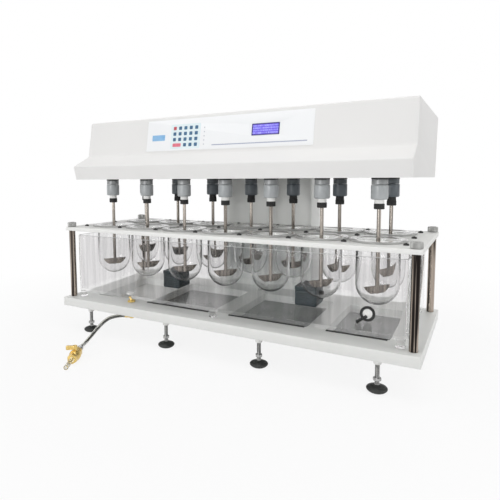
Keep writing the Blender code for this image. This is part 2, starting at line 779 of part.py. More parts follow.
def vessel_profile():
    """Gives the profile of a round-bottomed vessel with a wide flange, from outer pole to inner pole."""
    inner = VESSEL_RADIUS - VESSEL_WALL
    centre = VESSEL_RADIUS - VESSEL_HEIGHT
    arc = [(math.sin(turn), math.cos(turn)) for turn in bowl_turns()]
    outside = [(VESSEL_RADIUS * across, centre - VESSEL_RADIUS * down) for across, down in arc]
    inside = [(inner * across, centre - inner * down) for across, down in arc]
    flange = [
        (VESSEL_RADIUS, -VESSEL_FLANGE_THICKNESS), (VESSEL_FLANGE_RADIUS, -VESSEL_FLANGE_THICKNESS),
        (VESSEL_FLANGE_RADIUS, 0), (inner, 0),
    ]
    return outside + flange + inside[::-1]


def bowl_turns():
    """Gives the angles of the bowl's points, from its pole to its widest round."""
    return [step * math.pi / 2 / BOWL_STEPS for step in range(BOWL_STEPS + 1)]


def build_vessels():
    """Builds the glass vessels, each hung by its flange on the plate."""
    bm = bmesh.new()
    add_lathe(bm, vessel_profile(), VESSEL_SIDES)
    mesh = shaded_mesh("vessel", bm)
    for row, number, x, y in stations():
        place(f"vessel_{row}_{number}", mesh, "glass", (x, y, VESSEL_RIM_Z))


def build_circulators():
    """Builds the two dark circulators that stand on the bath floor between the rows."""
    floor = TANK_FLOOR_Z + TANK_FLOOR + GAP
    half_length = CIRCULATOR_LENGTH / 2
    half_depth = CIRCULATOR_DEPTH / 2
    for name, side in (("left", -1), ("right", 1)):
        x = side * CIRCULATOR_X
        bm = bmesh.new()
        add_box(
            bm, (x - half_length, BATH_Y - half_depth, floor),
            (x + half_length, BATH_Y + half_depth, floor + CIRCULATOR_HEIGHT),
        )
        box = finish(f"circulator_{name}", bm, "dark_box")
        bevel(box, CIRCULATOR_BEVEL)
        port = bmesh.new()
        mouth = (x + side * half_length, BATH_Y, floor + CIRCULATOR_HEIGHT / 2)
        frame = Matrix.Translation(mouth) @ Matrix.Rotation(math.pi / 2, 4, "Y")
        add_barrel(port, CIRCULATOR_PORT_RADIUS, -CIRCULATOR_PORT_LENGTH, CIRCULATOR_PORT_LENGTH, frame)
        join(box, port, f"circulator_port_{name}")


# Column and lift

def build_column_cover():
    """Builds the sheet column that the head's mast slides in."""
    radii = [COLUMN_CORNER_RADIUS] * 4
    outer_box = rectangle(COLUMN_WIDTH, COLUMN_DEPTH, (0, COLUMN_Y))
    inner_box = rectangle(COLUMN_WIDTH - 2 * SHEET, COLUMN_DEPTH - 2 * SHEET, (0, COLUMN_Y))
    inner_radii = [COLUMN_CORNER_RADIUS - SHEET] * 4
    low = BASE_TOP_Z + GAP
    high = HEAD_Z - COLUMN_TOP_GAP
    bm = bmesh.new()
    add_prism(bm, rounded_outline(outer_box, radii, COLUMN_CORNER_STEPS), low, high)
    column = finish("column_cover", bm, "column_grey")
    inside = rounded_outline(inner_box, inner_radii, COLUMN_CORNER_STEPS)
    hollow = bmesh.new()
    add_prism(hollow, inside, low - OVERRUN, high + OVERRUN)
    cut(column, hollow, "column_hollow")


def build_lift_mast(head):
    """Builds the sleeve that hangs from the head and slides in the column."""
    clearance = SHEET + RUN_GAP
    width = COLUMN_WIDTH - 2 * clearance
    depth = COLUMN_DEPTH - 2 * clearance
    corner = COLUMN_CORNER_RADIUS - clearance
    high = HEAD_Z - GAP
    low = high - LIFT_TRAVEL - MAST_OVERLAP
    outer = rounded_outline(rectangle(width, depth, (0, COLUMN_Y)), [corner] * 4, COLUMN_CORNER_STEPS)
    bm = bmesh.new()
    add_prism(bm, outer, low, high)
    mast = finish("lift_mast", bm, "stainless", parent=head)
    hollow = bmesh.new()
    inner = rectangle(width - 2 * MAST_WALL, depth - 2 * MAST_WALL, (0, COLUMN_Y))
    add_prism(hollow, inner, low - OVERRUN, high - MAST_CAP)
    cut(mast, hollow, "mast_hollow")


def build_lift_actuator(head):
    """Builds the screw actuator: a tube with its gear motor, and the rod under the mast's cap."""
    low = BASE_TOP_Z + GAP
    tube_top = HEAD_Z - ACTUATOR_TOP_GAP
    rod_top = HEAD_Z - GAP - MAST_CAP - GAP
    rod_low = rod_top - ACTUATOR_ROD_LENGTH
    bore = clear_radius(ACTUATOR_ROD_RADIUS, GAP, ROUND_SIDES)
    profile = [
        (0, low), (ACTUATOR_FOOT_RADIUS, low), (ACTUATOR_FOOT_RADIUS, low + ACTUATOR_FOOT_HEIGHT),
        (ACTUATOR_TUBE_RADIUS, low + ACTUATOR_FOOT_HEIGHT), (ACTUATOR_TUBE_RADIUS, tube_top),
        (bore, tube_top), (bore, rod_low - ACTUATOR_BORE_RESERVE), (0, rod_low - ACTUATOR_BORE_RESERVE),
    ]
    bm = bmesh.new()
    add_lathe(bm, profile, ROUND_SIDES, (0, COLUMN_Y, 0))
    body = finish("lift_actuator", bm, "cast_alloy")
    motor = bmesh.new()
    half = ACTUATOR_MOTOR_WIDTH / 2
    add_box(
        motor,
        (ACTUATOR_FOOT_RADIUS / 2, COLUMN_Y - half, low),
        (ACTUATOR_MOTOR_OFFSET + half, COLUMN_Y + half, low + ACTUATOR_FOOT_HEIGHT + MAST_CAP),
    )
    join(body, motor, "actuator_gear_case")
    can = bmesh.new()
    add_cylinder(
        can, half, low + ACTUATOR_FOOT_HEIGHT, low + ACTUATOR_MOTOR_LENGTH, ROUND_SIDES,
        (ACTUATOR_MOTOR_OFFSET, COLUMN_Y, 0),
    )
    join(body, can, "actuator_motor_can")
    rod = bmesh.new()
    add_cylinder(rod, ACTUATOR_ROD_RADIUS, rod_low, rod_top, ROUND_SIDES, (0, COLUMN_Y, 0))
    finish("actuator_rod", rod, "stainless", parent=head, smooth=True)


# Head

def head_outline():
    """Gives the head's corners in (Y, Z), and the seam where the back cover starts."""
    toe = (FRONT_ROW_Y - TOE_REACH, HEAD_Z)
    nose = (FRONT_ROW_Y - NOSE_REACH, HEAD_Z + NOSE_HEIGHT)
    fold = (FRONT_ROW_Y - FOLD_REACH, HEAD_Z + FOLD_HEIGHT)
    brow = (FRONT_ROW_Y - BROW_REACH, HEAD_Z + HEAD_HEIGHT)
    back_top = (FRONT_ROW_Y + BACK_REACH, HEAD_Z + HEAD_HEIGHT)
    back_bottom = (FRONT_ROW_Y + BACK_BOTTOM_REACH, HEAD_Z)
    return toe, nose, fold, brow, back_top, back_bottom


def moved_y(point, distance):
    """Shifts a (Y, Z) point along Y."""
    return point[0] + distance, point[1]


def build_head_cover(head):
    """Builds the folded cover: fascia, ledge, leaning front, top and ends, open below and behind."""
    toe, nose, fold, brow, back_top, back_bottom = head_outline()
    seam_top = moved_y(back_top, -BACK_COVER_DEPTH)
    seam_bottom = moved_y(back_bottom, -BACK_COVER_DEPTH)
    corners = [toe, nose, fold, brow, seam_top, seam_bottom]
    radii = [0, NOSE_RADIUS, FOLD_RADIUS, BROW_RADIUS, 0, 0]
    half = HEAD_LENGTH / 2
    bm = bmesh.new()
    add_prism(bm, rounded_outline(corners, radii, OUTLINE_ARC_STEPS), -half, half, yz_frame())
    cover = finish("head_cover", bm, "white_paint", parent=head)
    slope = (nose[0] - toe[0]) / (nose[1] - toe[1])
    toe_run = (toe[0] - slope * OVERRUN, toe[1] - OVERRUN)
    inside = [toe_run, nose, fold, brow, moved_y(seam_top, OVERRUN), (seam_bottom[0] + OVERRUN, toe_run[1])]
    inside = offset_outline(inside, [SHEET, SHEET, SHEET, SHEET, 0, 0])
    inner_radii = [0, NOSE_RADIUS - SHEET, FOLD_RADIUS + SHEET, BROW_RADIUS - SHEET, 0, 0]
    inside = rounded_outline(inside, inner_radii, OUTLINE_ARC_STEPS)
    hollow = bmesh.new()
    add_prism(hollow, inside, SHEET - half, half - SHEET, yz_frame())
    cut(cover, hollow, "cover_hollow")


def back_frame():
    """Gives a frame on the back cover's outer face: X to the left from behind, Y up the slope, Z out."""
    _, _, _, _, back_top, back_bottom = head_outline()
    up = Vector((0, back_top[0] - back_bottom[0], back_top[1] - back_bottom[1])).normalized()
    right = Vector((-1, 0, 0))
    out = right.cross(up)
    base = Vector((INLET_X, back_bottom[0], back_bottom[1])) + up * INLET_RISE
    matrix = Matrix((right, up, out)).transposed().to_4x4()
    matrix.translation = base
    return matrix


def build_head_back_cover(head):
    """Builds the shallow pan that closes the head's back, with the hole for the mains inlet."""
    _, _, _, _, back_top, back_bottom = head_outline()
    seam = GAP - BACK_COVER_DEPTH
    corners = [moved_y(back_bottom, seam), back_bottom, back_top, moved_y(back_top, seam)]
    half = HEAD_LENGTH / 2
    bm = bmesh.new()
    outline = rounded_outline(corners, [0, TAIL_RADIUS, TAIL_RADIUS, 0], OUTLINE_ARC_STEPS)
    add_prism(bm, outline, -half, half, yz_frame())
    cover = finish("head_back_cover", bm, "white_paint", parent=head)
    inside = offset_outline(corners, [SHEET, SHEET, SHEET, -OVERRUN])
    hollow = bmesh.new()
    add_prism(hollow, inside, SHEET - half, half - SHEET, yz_frame())
    cut(cover, hollow, "back_hollow")
    opening = bmesh.new()
    width = INLET_FLANGE_WIDTH - 2 * INLET_BODY_MARGIN + 2 * GAP
    height = INLET_FLANGE_HEIGHT - 2 * INLET_BODY_MARGIN + 2 * GAP
    add_prism(opening, rectangle(width, height), -OVERRUN, OVERRUN, back_frame())
    cut(cover, opening, "inlet_opening")


def build_power_inlet(head):
    """Builds the mains inlet and the housing of its switch, seated in the back cover."""
    frame = back_frame()
    bm = bmesh.new()
    add_prism(
        bm, rectangle(INLET_FLANGE_WIDTH, INLET_FLANGE_HEIGHT), GAP, GAP + INLET_FLANGE_THICKNESS,
    )
    place_at = frame.to_translation()
    turn = frame.to_euler()
    inlet = finish("power_inlet", bm, "black_plastic", place_at, turn, head)
    body = bmesh.new()
    body_size = (INLET_FLANGE_WIDTH - 2 * INLET_BODY_MARGIN, INLET_FLANGE_HEIGHT - 2 * INLET_BODY_MARGIN)
    add_prism(body, rectangle(*body_size), -INLET_BODY_DEPTH, GAP + INLET_FLANGE_THICKNESS / 2, frame)
    join(inlet, body, "inlet_body")
    face = GAP + INLET_FLANGE_THICKNESS
    hollows = bmesh.new()
    socket = rectangle(SOCKET_WIDTH, SOCKET_HEIGHT, (-SOCKET_OFFSET, 0))
    add_prism(hollows, socket, face - SOCKET_DEPTH, face + OVERRUN, frame)
    pocket = rectangle(ROCKER_WIDTH + 2 * RUN_GAP, ROCKER_LENGTH + 2 * RUN_GAP, (ROCKER_OFFSET, 0))
    pocket_depth = (ROCKER_ROOT + ROCKER_LENGTH / 2 * math.sin(ROCKER_TILT)) + RUN_GAP
    add_prism(hollows, pocket, face - pocket_depth, face + OVERRUN, frame)
    cut(inlet, hollows, "inlet_hollows")
    pins = bmesh.new()
    for column in (-1, 0, 1):
        centre = (column * PIN_SPACING - SOCKET_OFFSET, PIN_DROP if column else -PIN_DROP)
        add_prism(
            pins, rectangle(PIN_WIDTH, PIN_HEIGHT, centre),
            face - SOCKET_DEPTH - PIN_WIDTH, face - SOCKET_DEPTH + PIN_LENGTH, frame,
        )
    join(inlet, pins, "inlet_pins")


def build_switch_rocker(head):
    """Builds the rocker, tilted to its off side, with its origin on the axis that it rocks about."""
    frame = back_frame()
    half = ROCKER_LENGTH / 2
    outline = [
        (-half, ROCKER_CREST), (0, ROCKER_VALLEY), (half, ROCKER_CREST),
        (half - ROCKER_TAPER, -ROCKER_ROOT), (ROCKER_TAPER - half, -ROCKER_ROOT),
    ]
    bm = bmesh.new()
    add_prism(bm, outline, -ROCKER_WIDTH / 2, ROCKER_WIDTH / 2, yz_frame())
    pivot = frame @ Vector((ROCKER_OFFSET, 0, GAP + INLET_FLANGE_THICKNESS))
    turn = (frame.to_3x3() @ Matrix.Rotation(-ROCKER_TILT, 3, "X")).to_euler()
    finish("switch_rocker", bm, "black_plastic", pivot, turn, head)


def build_head_chassis(head):
    """Builds the plate that closes the head from below, with a flanged bearing housing at each station."""
    toe, nose, _, _, _, back_bottom = head_outline()
    lean = math.atan2(toe[0] - nose[0], nose[1] - toe[1])
    front = toe[0] + SHEET / math.cos(lean) + GAP
    back = back_bottom[0] - BACK_COVER_DEPTH - GAP
    half = HEAD_LENGTH / 2 - SHEET - GAP
    bm = bmesh.new()
    add_box(bm, (-half, front, HEAD_Z), (half, back, CHASSIS_TOP_Z))
    chassis = finish("head_chassis", bm, "white_paint", parent=head)
    flange_low = HEAD_Z - BEARING_FLANGE_DROP
    sleeve_top = CHASSIS_TOP_Z + BEARING_RISE
    housing = [
        (0, flange_low), (BEARING_FLANGE_RADIUS, flange_low),
        (BEARING_FLANGE_RADIUS, HEAD_Z + CHASSIS_THICKNESS / 2),
        (BEARING_SLEEVE_RADIUS, HEAD_Z + CHASSIS_THICKNESS / 2), (BEARING_SLEEVE_RADIUS, sleeve_top),
        (0, sleeve_top),
    ]
    housings = bmesh.new()
    bores = bmesh.new()
    bore = clear_radius(SPINDLE_RADIUS, GAP, SPINDLE_SIDES)
    for _, _, x, y in stations():
        add_lathe(housings, housing, SPINDLE_SIDES, (x, y, 0))
        add_cylinder(bores, bore, flange_low - OVERRUN, sleeve_top + OVERRUN, SPINDLE_SIDES, (x, y, 0))
    join(chassis, housings, "bearing_housings")
    cut(chassis, bores, "bearing_bores")


def stirrer_profile():
    """Gives a stirrer's profile from the shaft's foot up to the pulley, from the head's underside."""
    chuck_top = -BEARING_FLANGE_DROP - RUN_GAP
    chuck_low = chuck_top - CHUCK_LENGTH
    collet_top = chuck_low - NECK_LENGTH
    collet_low = collet_top - COLLET_LENGTH
    pulley_low = PULLEY_Z - HEAD_Z
    pulley_top = pulley_low + PULLEY_WIDTH
    shaft_low = blade_bottom() + BLADE_HEIGHT / 2
    return [
        (0, shaft_low), (SHAFT_RADIUS, shaft_low), (SHAFT_RADIUS, collet_low), (COLLET_RADIUS, collet_low),
        (COLLET_RADIUS, collet_top), (NECK_RADIUS, collet_top), (NECK_RADIUS, chuck_low),
        (CHUCK_RADIUS - CHUCK_BEVEL, chuck_low), (CHUCK_RADIUS, chuck_low + CHUCK_BEVEL),
        (CHUCK_RADIUS, chuck_top), (SPINDLE_RADIUS, chuck_top), (SPINDLE_RADIUS, pulley_low),
        (PULLEY_RADIUS, pulley_low), (PULLEY_RADIUS, pulley_top), (0, pulley_top),
    ]


def blade_bottom():
    """Gives the height of the blade's lower edge from the head's underside."""
    return BOWL_BOTTOM_Z + BLADE_ABOVE_BOWL - HEAD_Z


def build_stirrers(head):
    """Builds each station's stirrer on its own axis: pulley, spindle, chuck, shaft and blade."""
    turned = bmesh.new()
    add_lathe(turned, stirrer_profile(), SPINDLE_SIDES)
    turned_mesh = shaded_mesh("stirrer", turned)
    blade = bmesh.new()
    frame = Matrix.Rotation(BLADE_ANGLE, 4, "Z") @ Matrix.Rotation(math.pi / 2, 4, "X")
    outline = [(u, v + blade_bottom()) for u, v in blade_outline()]
    add_prism(blade, outline, -BLADE_THICKNESS / 2, BLADE_THICKNESS / 2, frame)
    blade_mesh = bpy.data.meshes.new("blade")
    blade.to_mesh(blade_mesh)
    blade.free()
    for row, number, x, y in stations():
        stirrer = place(f"stirrer_{row}_{number}", turned_mesh, "stainless", (x, y, HEAD_Z), parent=head)
        tool = add_tool(f"blade_{row}_{number}", blade_mesh)
        tool.parent = stirrer
        boolean(stirrer, tool, "UNION")


def blade_outline():
    """Gives the blade's outline: flat top and bottom, sides that are arcs about a point on its axis."""
    half = BLADE_WIDTH / 2
    centre = BLADE_HEIGHT + math.sqrt(BLADE_ARC_RADIUS ** 2 - half ** 2)
    start = math.atan2(BLADE_HEIGHT - centre, half)
    end = math.atan2(-centre, math.sqrt(max(BLADE_ARC_RADIUS ** 2 - centre ** 2, 0)))
    right = []
    for step in range(BLADE_ARC_STEPS + 1):
        angle = start + (end - start) * step / BLADE_ARC_STEPS
        right.append((BLADE_ARC_RADIUS * math.cos(angle), centre + BLADE_ARC_RADIUS * math.sin(angle)))
    left = [(-u, v) for u, v in reversed(right)]
    return right + left


def belt_loop(radius):
    """Gives the loop at a radius round the four end pulleys and the motor's pulley, anticlockwise."""
    left = station_x(0)
    right = station_x(STATIONS_IN_ROW - 1)
    centres = [
        (left, FRONT_ROW_Y), (right, FRONT_ROW_Y), (MOTOR_X, BATH_Y),
        (right, REAR_ROW_Y), (left, REAR_ROW_Y),
    ]
    count = len(centres)
    headings = []
    for index in range(count):
        step = Vector(centres[(index + 1) % count]) - Vector(centres[index])
        headings.append(math.atan2(step.y, step.x))
    loop = []
    for index, centre in enumerate(centres):
        start = headings[index - 1] - math.pi / 2
        turn = (headings[index] - headings[index - 1]) % math.tau
        for step in range(BELT_ARC_STEPS + 1):
            angle = start + turn * step / BELT_ARC_STEPS
            loop.append((centre[0] + radius * math.cos(angle), centre[1] + radius * math.sin(angle)))
    return loop


def build_belt_drive(head):
    """Builds the long belt, the motor's pulley on its axis, and the motor on its four legs."""
    inner_radius = clear_radius(PULLEY_RADIUS, GAP, 4 * BELT_ARC_STEPS)
    outer_radius = inner_radius + BELT_THICKNESS
    bm = bmesh.new()
    add_prism(bm, belt_loop(outer_radius), BELT_Z, BELT_Z + BELT_WIDTH)
    belt = finish("drive_belt", bm, "belt_rubber", parent=head)
    inside = bmesh.new()
    add_prism(inside, belt_loop(inner_radius), BELT_Z - OVERRUN, BELT_Z + BELT_WIDTH + OVERRUN)
    cut(belt, inside, "belt_inside")

    flange_z = CHASSIS_TOP_Z + MOTOR_LEG_HEIGHT
    shaft_top = flange_z + MOTOR_SHAFT_ENGAGEMENT
    nose = PULLEY_Z - MOTOR_PULLEY_NOSE
    profile = [
        (0, nose), (MOTOR_SHAFT_RADIUS, nose), (MOTOR_SHAFT_RADIUS, PULLEY_Z), (PULLEY_RADIUS, PULLEY_Z),
        (PULLEY_RADIUS, PULLEY_Z + PULLEY_WIDTH), (MOTOR_SHAFT_RADIUS, PULLEY_Z + PULLEY_WIDTH),
        (MOTOR_SHAFT_RADIUS, shaft_top), (0, shaft_top),
    ]
    pulley = bmesh.new()
    add_lathe(pulley, [(radius, height - PULLEY_Z) for radius, height in profile], SPINDLE_SIDES)
    finish("motor_pulley", pulley, "cast_alloy", (MOTOR_X, BATH_Y, PULLEY_Z), parent=head, smooth=True)

    bore = clear_radius(MOTOR_SHAFT_RADIUS, GAP, ROUND_SIDES)
    flange_middle = flange_z + MOTOR_FLANGE_THICKNESS / 2
    flange_top = flange_z + MOTOR_FLANGE_THICKNESS
    can_top = flange_top + MOTOR_CAN_LENGTH
    axis = (MOTOR_X, BATH_Y, 0)
    half = MOTOR_FLANGE / 2
    motor = bmesh.new()
    add_box(motor, (MOTOR_X - half, BATH_Y - half, flange_z), (MOTOR_X + half, BATH_Y + half, flange_top))
    drive = finish("drive_motor", motor, "cast_alloy", parent=head)
    can = bmesh.new()
    add_cylinder(can, MOTOR_CAN_RADIUS, flange_middle, can_top, ROUND_SIDES, axis)
    join(drive, can, "motor_can")
    legs = bmesh.new()
    reach = half - MOTOR_LEG_INSET
    for x in (MOTOR_X - reach, MOTOR_X + reach):
        for y in (BATH_Y - reach, BATH_Y + reach):
            add_cylinder(legs, MOTOR_LEG_RADIUS, CHASSIS_TOP_Z + GAP, flange_middle, STUD_SIDES, (x, y, 0))
    join(drive, legs, "motor_legs")
    hole = bmesh.new()
    add_cylinder(hole, bore, flange_z - OVERRUN, shaft_top + GAP, ROUND_SIDES, axis)
    cut(drive, hole, "motor_shaft_bore")


def face_frame():
    """Gives a frame on the leaning front face: X to the right, Y up the face from the fold, Z out."""
    _, _, fold, brow, _, _ = head_outline()
    up = Vector((0, brow[0] - fold[0], brow[1] - fold[1])).normalized()
    right = Vector((1, 0, 0))
    matrix = Matrix((right, up, right.cross(up))).transposed().to_4x4()
    matrix.translation = Vector((0, fold[0], fold[1]))
    return matrix


def build_control_panel(head):
    """Builds the membrane panel with its raised keys, and the display in its cut-out."""
    frame = face_frame()
    turn = frame.to_euler()
    origin = frame.to_translation()
    outline = rounded_outline(
        rectangle(PANEL_LENGTH, PANEL_HEIGHT, (0, PANEL_RISE + PANEL_HEIGHT / 2)),
        [PANEL_CORNER_RADIUS] * 4, OUTLINE_ARC_STEPS,
    )
    bm = bmesh.new()
    add_prism(bm, outline, GAP, GAP + PANEL_THICKNESS)
    panel = finish("control_panel", bm, "panel_film", origin, turn, head)
    keys = bmesh.new()
    top = GAP + PANEL_THICKNESS
    for x, y, width in key_places():
        key = rectangle(width, KEY_SIZE, (x, y))
        add_prism(keys, key, top - PANEL_THICKNESS / 2, top + KEY_HEIGHT, frame)
    join(panel, keys, "raised_keys")
    opening = bmesh.new()
    centre = (DISPLAY_X, DISPLAY_RISE)
    hole = rectangle(DISPLAY_LENGTH + 2 * GAP, DISPLAY_HEIGHT + 2 * GAP, centre)
    add_prism(opening, hole, -OVERRUN, OVERRUN, frame)
    cut(panel, opening, "display_opening")

    bm = bmesh.new()
    add_prism(bm, rectangle(DISPLAY_LENGTH, DISPLAY_HEIGHT, centre), GAP, GAP + DISPLAY_THICKNESS)
    display = finish("display_window", bm, "display", origin, turn, head)
    bevel(display, DISPLAY_BEVEL)


def key_places():
    """Yields the X, the rise and the width of each key. The one at the lower left is two columns wide."""
    left = KEYPAD_X - (KEY_COLUMNS - 1) / 2 * KEY_PITCH_X
    bottom = KEYPAD_RISE - (KEY_ROWS - 1) / 2 * KEY_PITCH_Y
    for row in range(KEY_ROWS):
        for column in range(KEY_COLUMNS):
            if row > 0 or column > 1:
                yield left + column * KEY_PITCH_X, bottom + row * KEY_PITCH_Y, KEY_SIZE
    yield left + KEY_PITCH_X / 2, bottom, KEY_SIZE + KEY_PITCH_X


# Drain

def build_drain_fitting():
    """Builds the brass bulkhead fitting through the bath floor and the base, with its elbow below."""
    elbow_z = FOOT_HEIGHT - DRAIN_ELBOW_DROP
    cap_low = TANK_FLOOR_Z + TANK_FLOOR + GAP
    nut_low = BASE_TOP_Z + GAP
    profile = [
        (0, elbow_z - DRAIN_ELBOW_RADIUS), (DRAIN_ELBOW_RADIUS, elbow_z - DRAIN_ELBOW_RADIUS),
        (DRAIN_ELBOW_RADIUS, FOOT_HEIGHT - GAP), (DRAIN_STEM_RADIUS, FOOT_HEIGHT - GAP),
        (DRAIN_STEM_RADIUS, nut_low), (DRAIN_NUT_RADIUS, nut_low),
        (DRAIN_NUT_RADIUS, nut_low + DRAIN_NUT_HEIGHT),
        (DRAIN_STEM_RADIUS, nut_low + DRAIN_NUT_HEIGHT), (DRAIN_STEM_RADIUS, cap_low),
        (DRAIN_CAP_RADIUS, cap_low), (DRAIN_CAP_RADIUS, cap_low + DRAIN_CAP_HEIGHT),
        (DRAIN_BORE_RADIUS, cap_low + DRAIN_CAP_HEIGHT), (DRAIN_BORE_RADIUS, elbow_z), (0, elbow_z),
    ]
    bm = bmesh.new()
    add_lathe(bm, profile, ROUND_SIDES, (DRAIN_X, DRAIN_Y, 0))
    fitting = finish("drain_fitting", bm, "brass", smooth=True)
    start, heading = hose_start()
    frame = direction_frame((DRAIN_X, DRAIN_Y, elbow_z), heading)
    barb = bmesh.new()
    add_barrel(barb, DRAIN_ELBOW_RADIUS - GAP, 0, DRAIN_ELBOW_LENGTH, frame)
    join(fitting, barb, "drain_elbow")


def hose_start():
    """Gives the point where the hose leaves the elbow and the direction that it leaves in."""
    elbow = Vector((DRAIN_X, DRAIN_Y, FOOT_HEIGHT - DRAIN_ELBOW_DROP))
    heading = Vector(HOSE_ROUTE[0]) - elbow
    heading.z = 0
    heading.normalize()
    return elbow + heading * (DRAIN_ELBOW_LENGTH + GAP), heading


def direction_frame(origin, direction):
    """Gives a frame whose Z points along a level direction and whose Y points up."""
    along = Vector(direction).normalized()
    up = Vector((0, 0, 1))
    matrix = Matrix((up.cross(along), up, along)).transposed().to_4x4()
    matrix.translation = Vector(origin)
    return matrix


def add_barrel(bm, radius, start, end, frame):
    """Adds a round bar along a frame's Z."""
    circle = [
        (radius * math.cos(i * math.tau / ROUND_SIDES), radius * math.sin(i * math.tau / ROUND_SIDES))
        for i in range(ROUND_SIDES)
    ]
    add_prism(bm, circle, start, end, frame)


def smooth_route(points):
    """Gives closely spaced points on a smooth curve through all the given points."""
    ends = [points[0] + (points[0] - points[1]), *points, points[-1] + (points[-1] - points[-2])]
    curve = []
    for index in range(1, len(ends) - 2):
        before, here, there, after = ends[index - 1:index + 3]
        for sample in range(HOSE_CURVE_SAMPLES):
            t = sample / HOSE_CURVE_SAMPLES
            curve.append(
                (2 * here + (there - before) * t + (2 * before - 5 * here + 4 * there - after) * t ** 2
                 + (3 * here - before - 3 * there + after) * t ** 3) / 2
            )
    curve.append(points[-1])
    return curve


def evenly_spaced(curve, step):
    """Picks points at an even distance along a fine curve, with both ends."""
    total = sum((b - a).length for a, b in zip(curve, curve[1:]))
    count = max(2, round(total / step))
    spacing = total / count
    picked = [curve[0]]
    travelled = 0.0
    for a, b in zip(curve, curve[1:]):
        length = (b - a).length
        while len(picked) < count and travelled + length >= spacing * len(picked):
            picked.append(a.lerp(b, (spacing * len(picked) - travelled) / length))
        travelled += length
    picked.append(curve[-1])
    return picked


def build_drain_hose():
    """Builds the hose as a tube along the smooth route from the elbow to the valve."""
    start, heading = hose_start()
    along = Vector(VALVE_DIRECTION).normalized()
    end = Vector(VALVE_INLET) - along * GAP
    lead = 2 * HOSE_RADIUS
    middle = [start + heading * lead, *[Vector(point) for point in HOSE_ROUTE], end - along * lead]
    points = [start, *evenly_spaced(smooth_route(middle), HOSE_POINT_STEP), end]
    curve = bpy.data.curves.new("drain_hose", "CURVE")
    curve.dimensions = "3D"
    curve.bevel_depth = HOSE_RADIUS
    curve.bevel_resolution = 2
    curve.use_fill_caps = True
    spline = curve.splines.new("POLY")
    spline.points.add(len(points) - 1)
    for target, point in zip(spline.points, points):
        target.co = (*point, 1.0)
    curve.materials.append(get_material("hose_plastic"))
    hose = bpy.data.objects.new("drain_hose", curve)
    bpy.context.scene.collection.objects.link(hose)


def valve_axis_point(distance):
    """Gives a point on the valve's axis at a distance from its inlet."""
    return Vector(VALVE_INLET) + Vector(VALVE_DIRECTION).normalized() * distance


def build_drain_valve():
    """Builds the brass valve with the hose ferrule, the two nuts, the stem and the outlet spout."""
    body_low = FERRULE_LENGTH + VALVE_NUT_LENGTH
    body_high = body_low + VALVE_BODY_LENGTH
    shoulder = VALVE_BODY_LENGTH * VALVE_SHOULDER_SHARE
    nut_high = body_high + VALVE_NUT_LENGTH
    spout_end = nut_high + SPOUT_LENGTH
    profile = [
        (0, 0), (FERRULE_RADIUS, 0), (FERRULE_RADIUS, FERRULE_LENGTH), (VALVE_NUT_RADIUS, FERRULE_LENGTH),
        (VALVE_NUT_RADIUS, body_low), (VALVE_BODY_RADIUS, body_low + shoulder),
        (VALVE_BODY_RADIUS, body_high - shoulder), (VALVE_WAIST_RADIUS, body_high),
        (VALVE_NUT_RADIUS, body_high), (VALVE_NUT_RADIUS, nut_high), (SPOUT_RADIUS, nut_high),
        (SPOUT_RADIUS, spout_end), (SPOUT_BORE_RADIUS, spout_end),
        (SPOUT_BORE_RADIUS, spout_end - SPOUT_BORE_DEPTH), (0, spout_end - SPOUT_BORE_DEPTH),
    ]
    bm = bmesh.new()
    add_lathe(bm, profile, ROUND_SIDES)
    frame = direction_frame(VALVE_INLET, VALVE_DIRECTION)
    valve = finish("drain_valve", bm, "brass", frame.to_translation(), frame.to_euler(), smooth=True)
    stem = bmesh.new()
    centre = valve_axis_point(body_low + VALVE_BODY_LENGTH / 2)
    add_cylinder(
        stem, VALVE_STEM_RADIUS, centre.z, centre.z + VALVE_BODY_RADIUS + VALVE_STEM_LENGTH, STUD_SIDES,
        (centre.x, centre.y, 0),
    )
    join(valve, stem, "valve_stem")


def build_valve_lever():
    """Builds the wing lever on the stem, across the flow, which is closed."""
    centre = valve_axis_point(FERRULE_LENGTH + VALVE_NUT_LENGTH + VALVE_BODY_LENGTH / 2)
    low = VALVE_BODY_RADIUS + RUN_GAP
    stem_top = VALVE_BODY_RADIUS + VALVE_STEM_LENGTH
    hub_top = stem_top + LEVER_THICKNESS
    bore = clear_radius(VALVE_STEM_RADIUS, GAP, ROUND_SIDES)
    profile = [
        (bore, low), (LEVER_HUB_RADIUS, low), (LEVER_HUB_RADIUS, hub_top), (0, hub_top),
        (0, stem_top + GAP), (bore, stem_top + GAP),
    ]
    hub = bmesh.new()
    add_lathe(hub, profile, ROUND_SIDES)
    frame = direction_frame(centre, VALVE_DIRECTION)
    across = frame.to_3x3() @ Vector((-1, 0, 0))
    heading = math.atan2(across.y, across.x)
    lever = finish("valve_lever", hub, "brass", centre, (0, 0, heading))
    blade = bmesh.new()
    start = LEVER_HUB_RADIUS * LEVER_ROOT_SHARE
    flare = LEVER_LENGTH * LEVER_FLARE_SHARE
    outline = [
        (start, -LEVER_ROOT_WIDTH / 2), (flare, -LEVER_TIP_WIDTH / 2),
        (LEVER_LENGTH, -LEVER_TIP_WIDTH / 2), (LEVER_LENGTH, LEVER_TIP_WIDTH / 2),
        (flare, LEVER_TIP_WIDTH / 2), (start, LEVER_ROOT_WIDTH / 2),
    ]
    swing = Matrix.Translation(centre) @ Matrix.Rotation(heading, 4, "Z")
    add_prism(blade, outline, hub_top - LEVER_THICKNESS, hub_top - GAP, swing)
    join(lever, blade, "lever_blade")


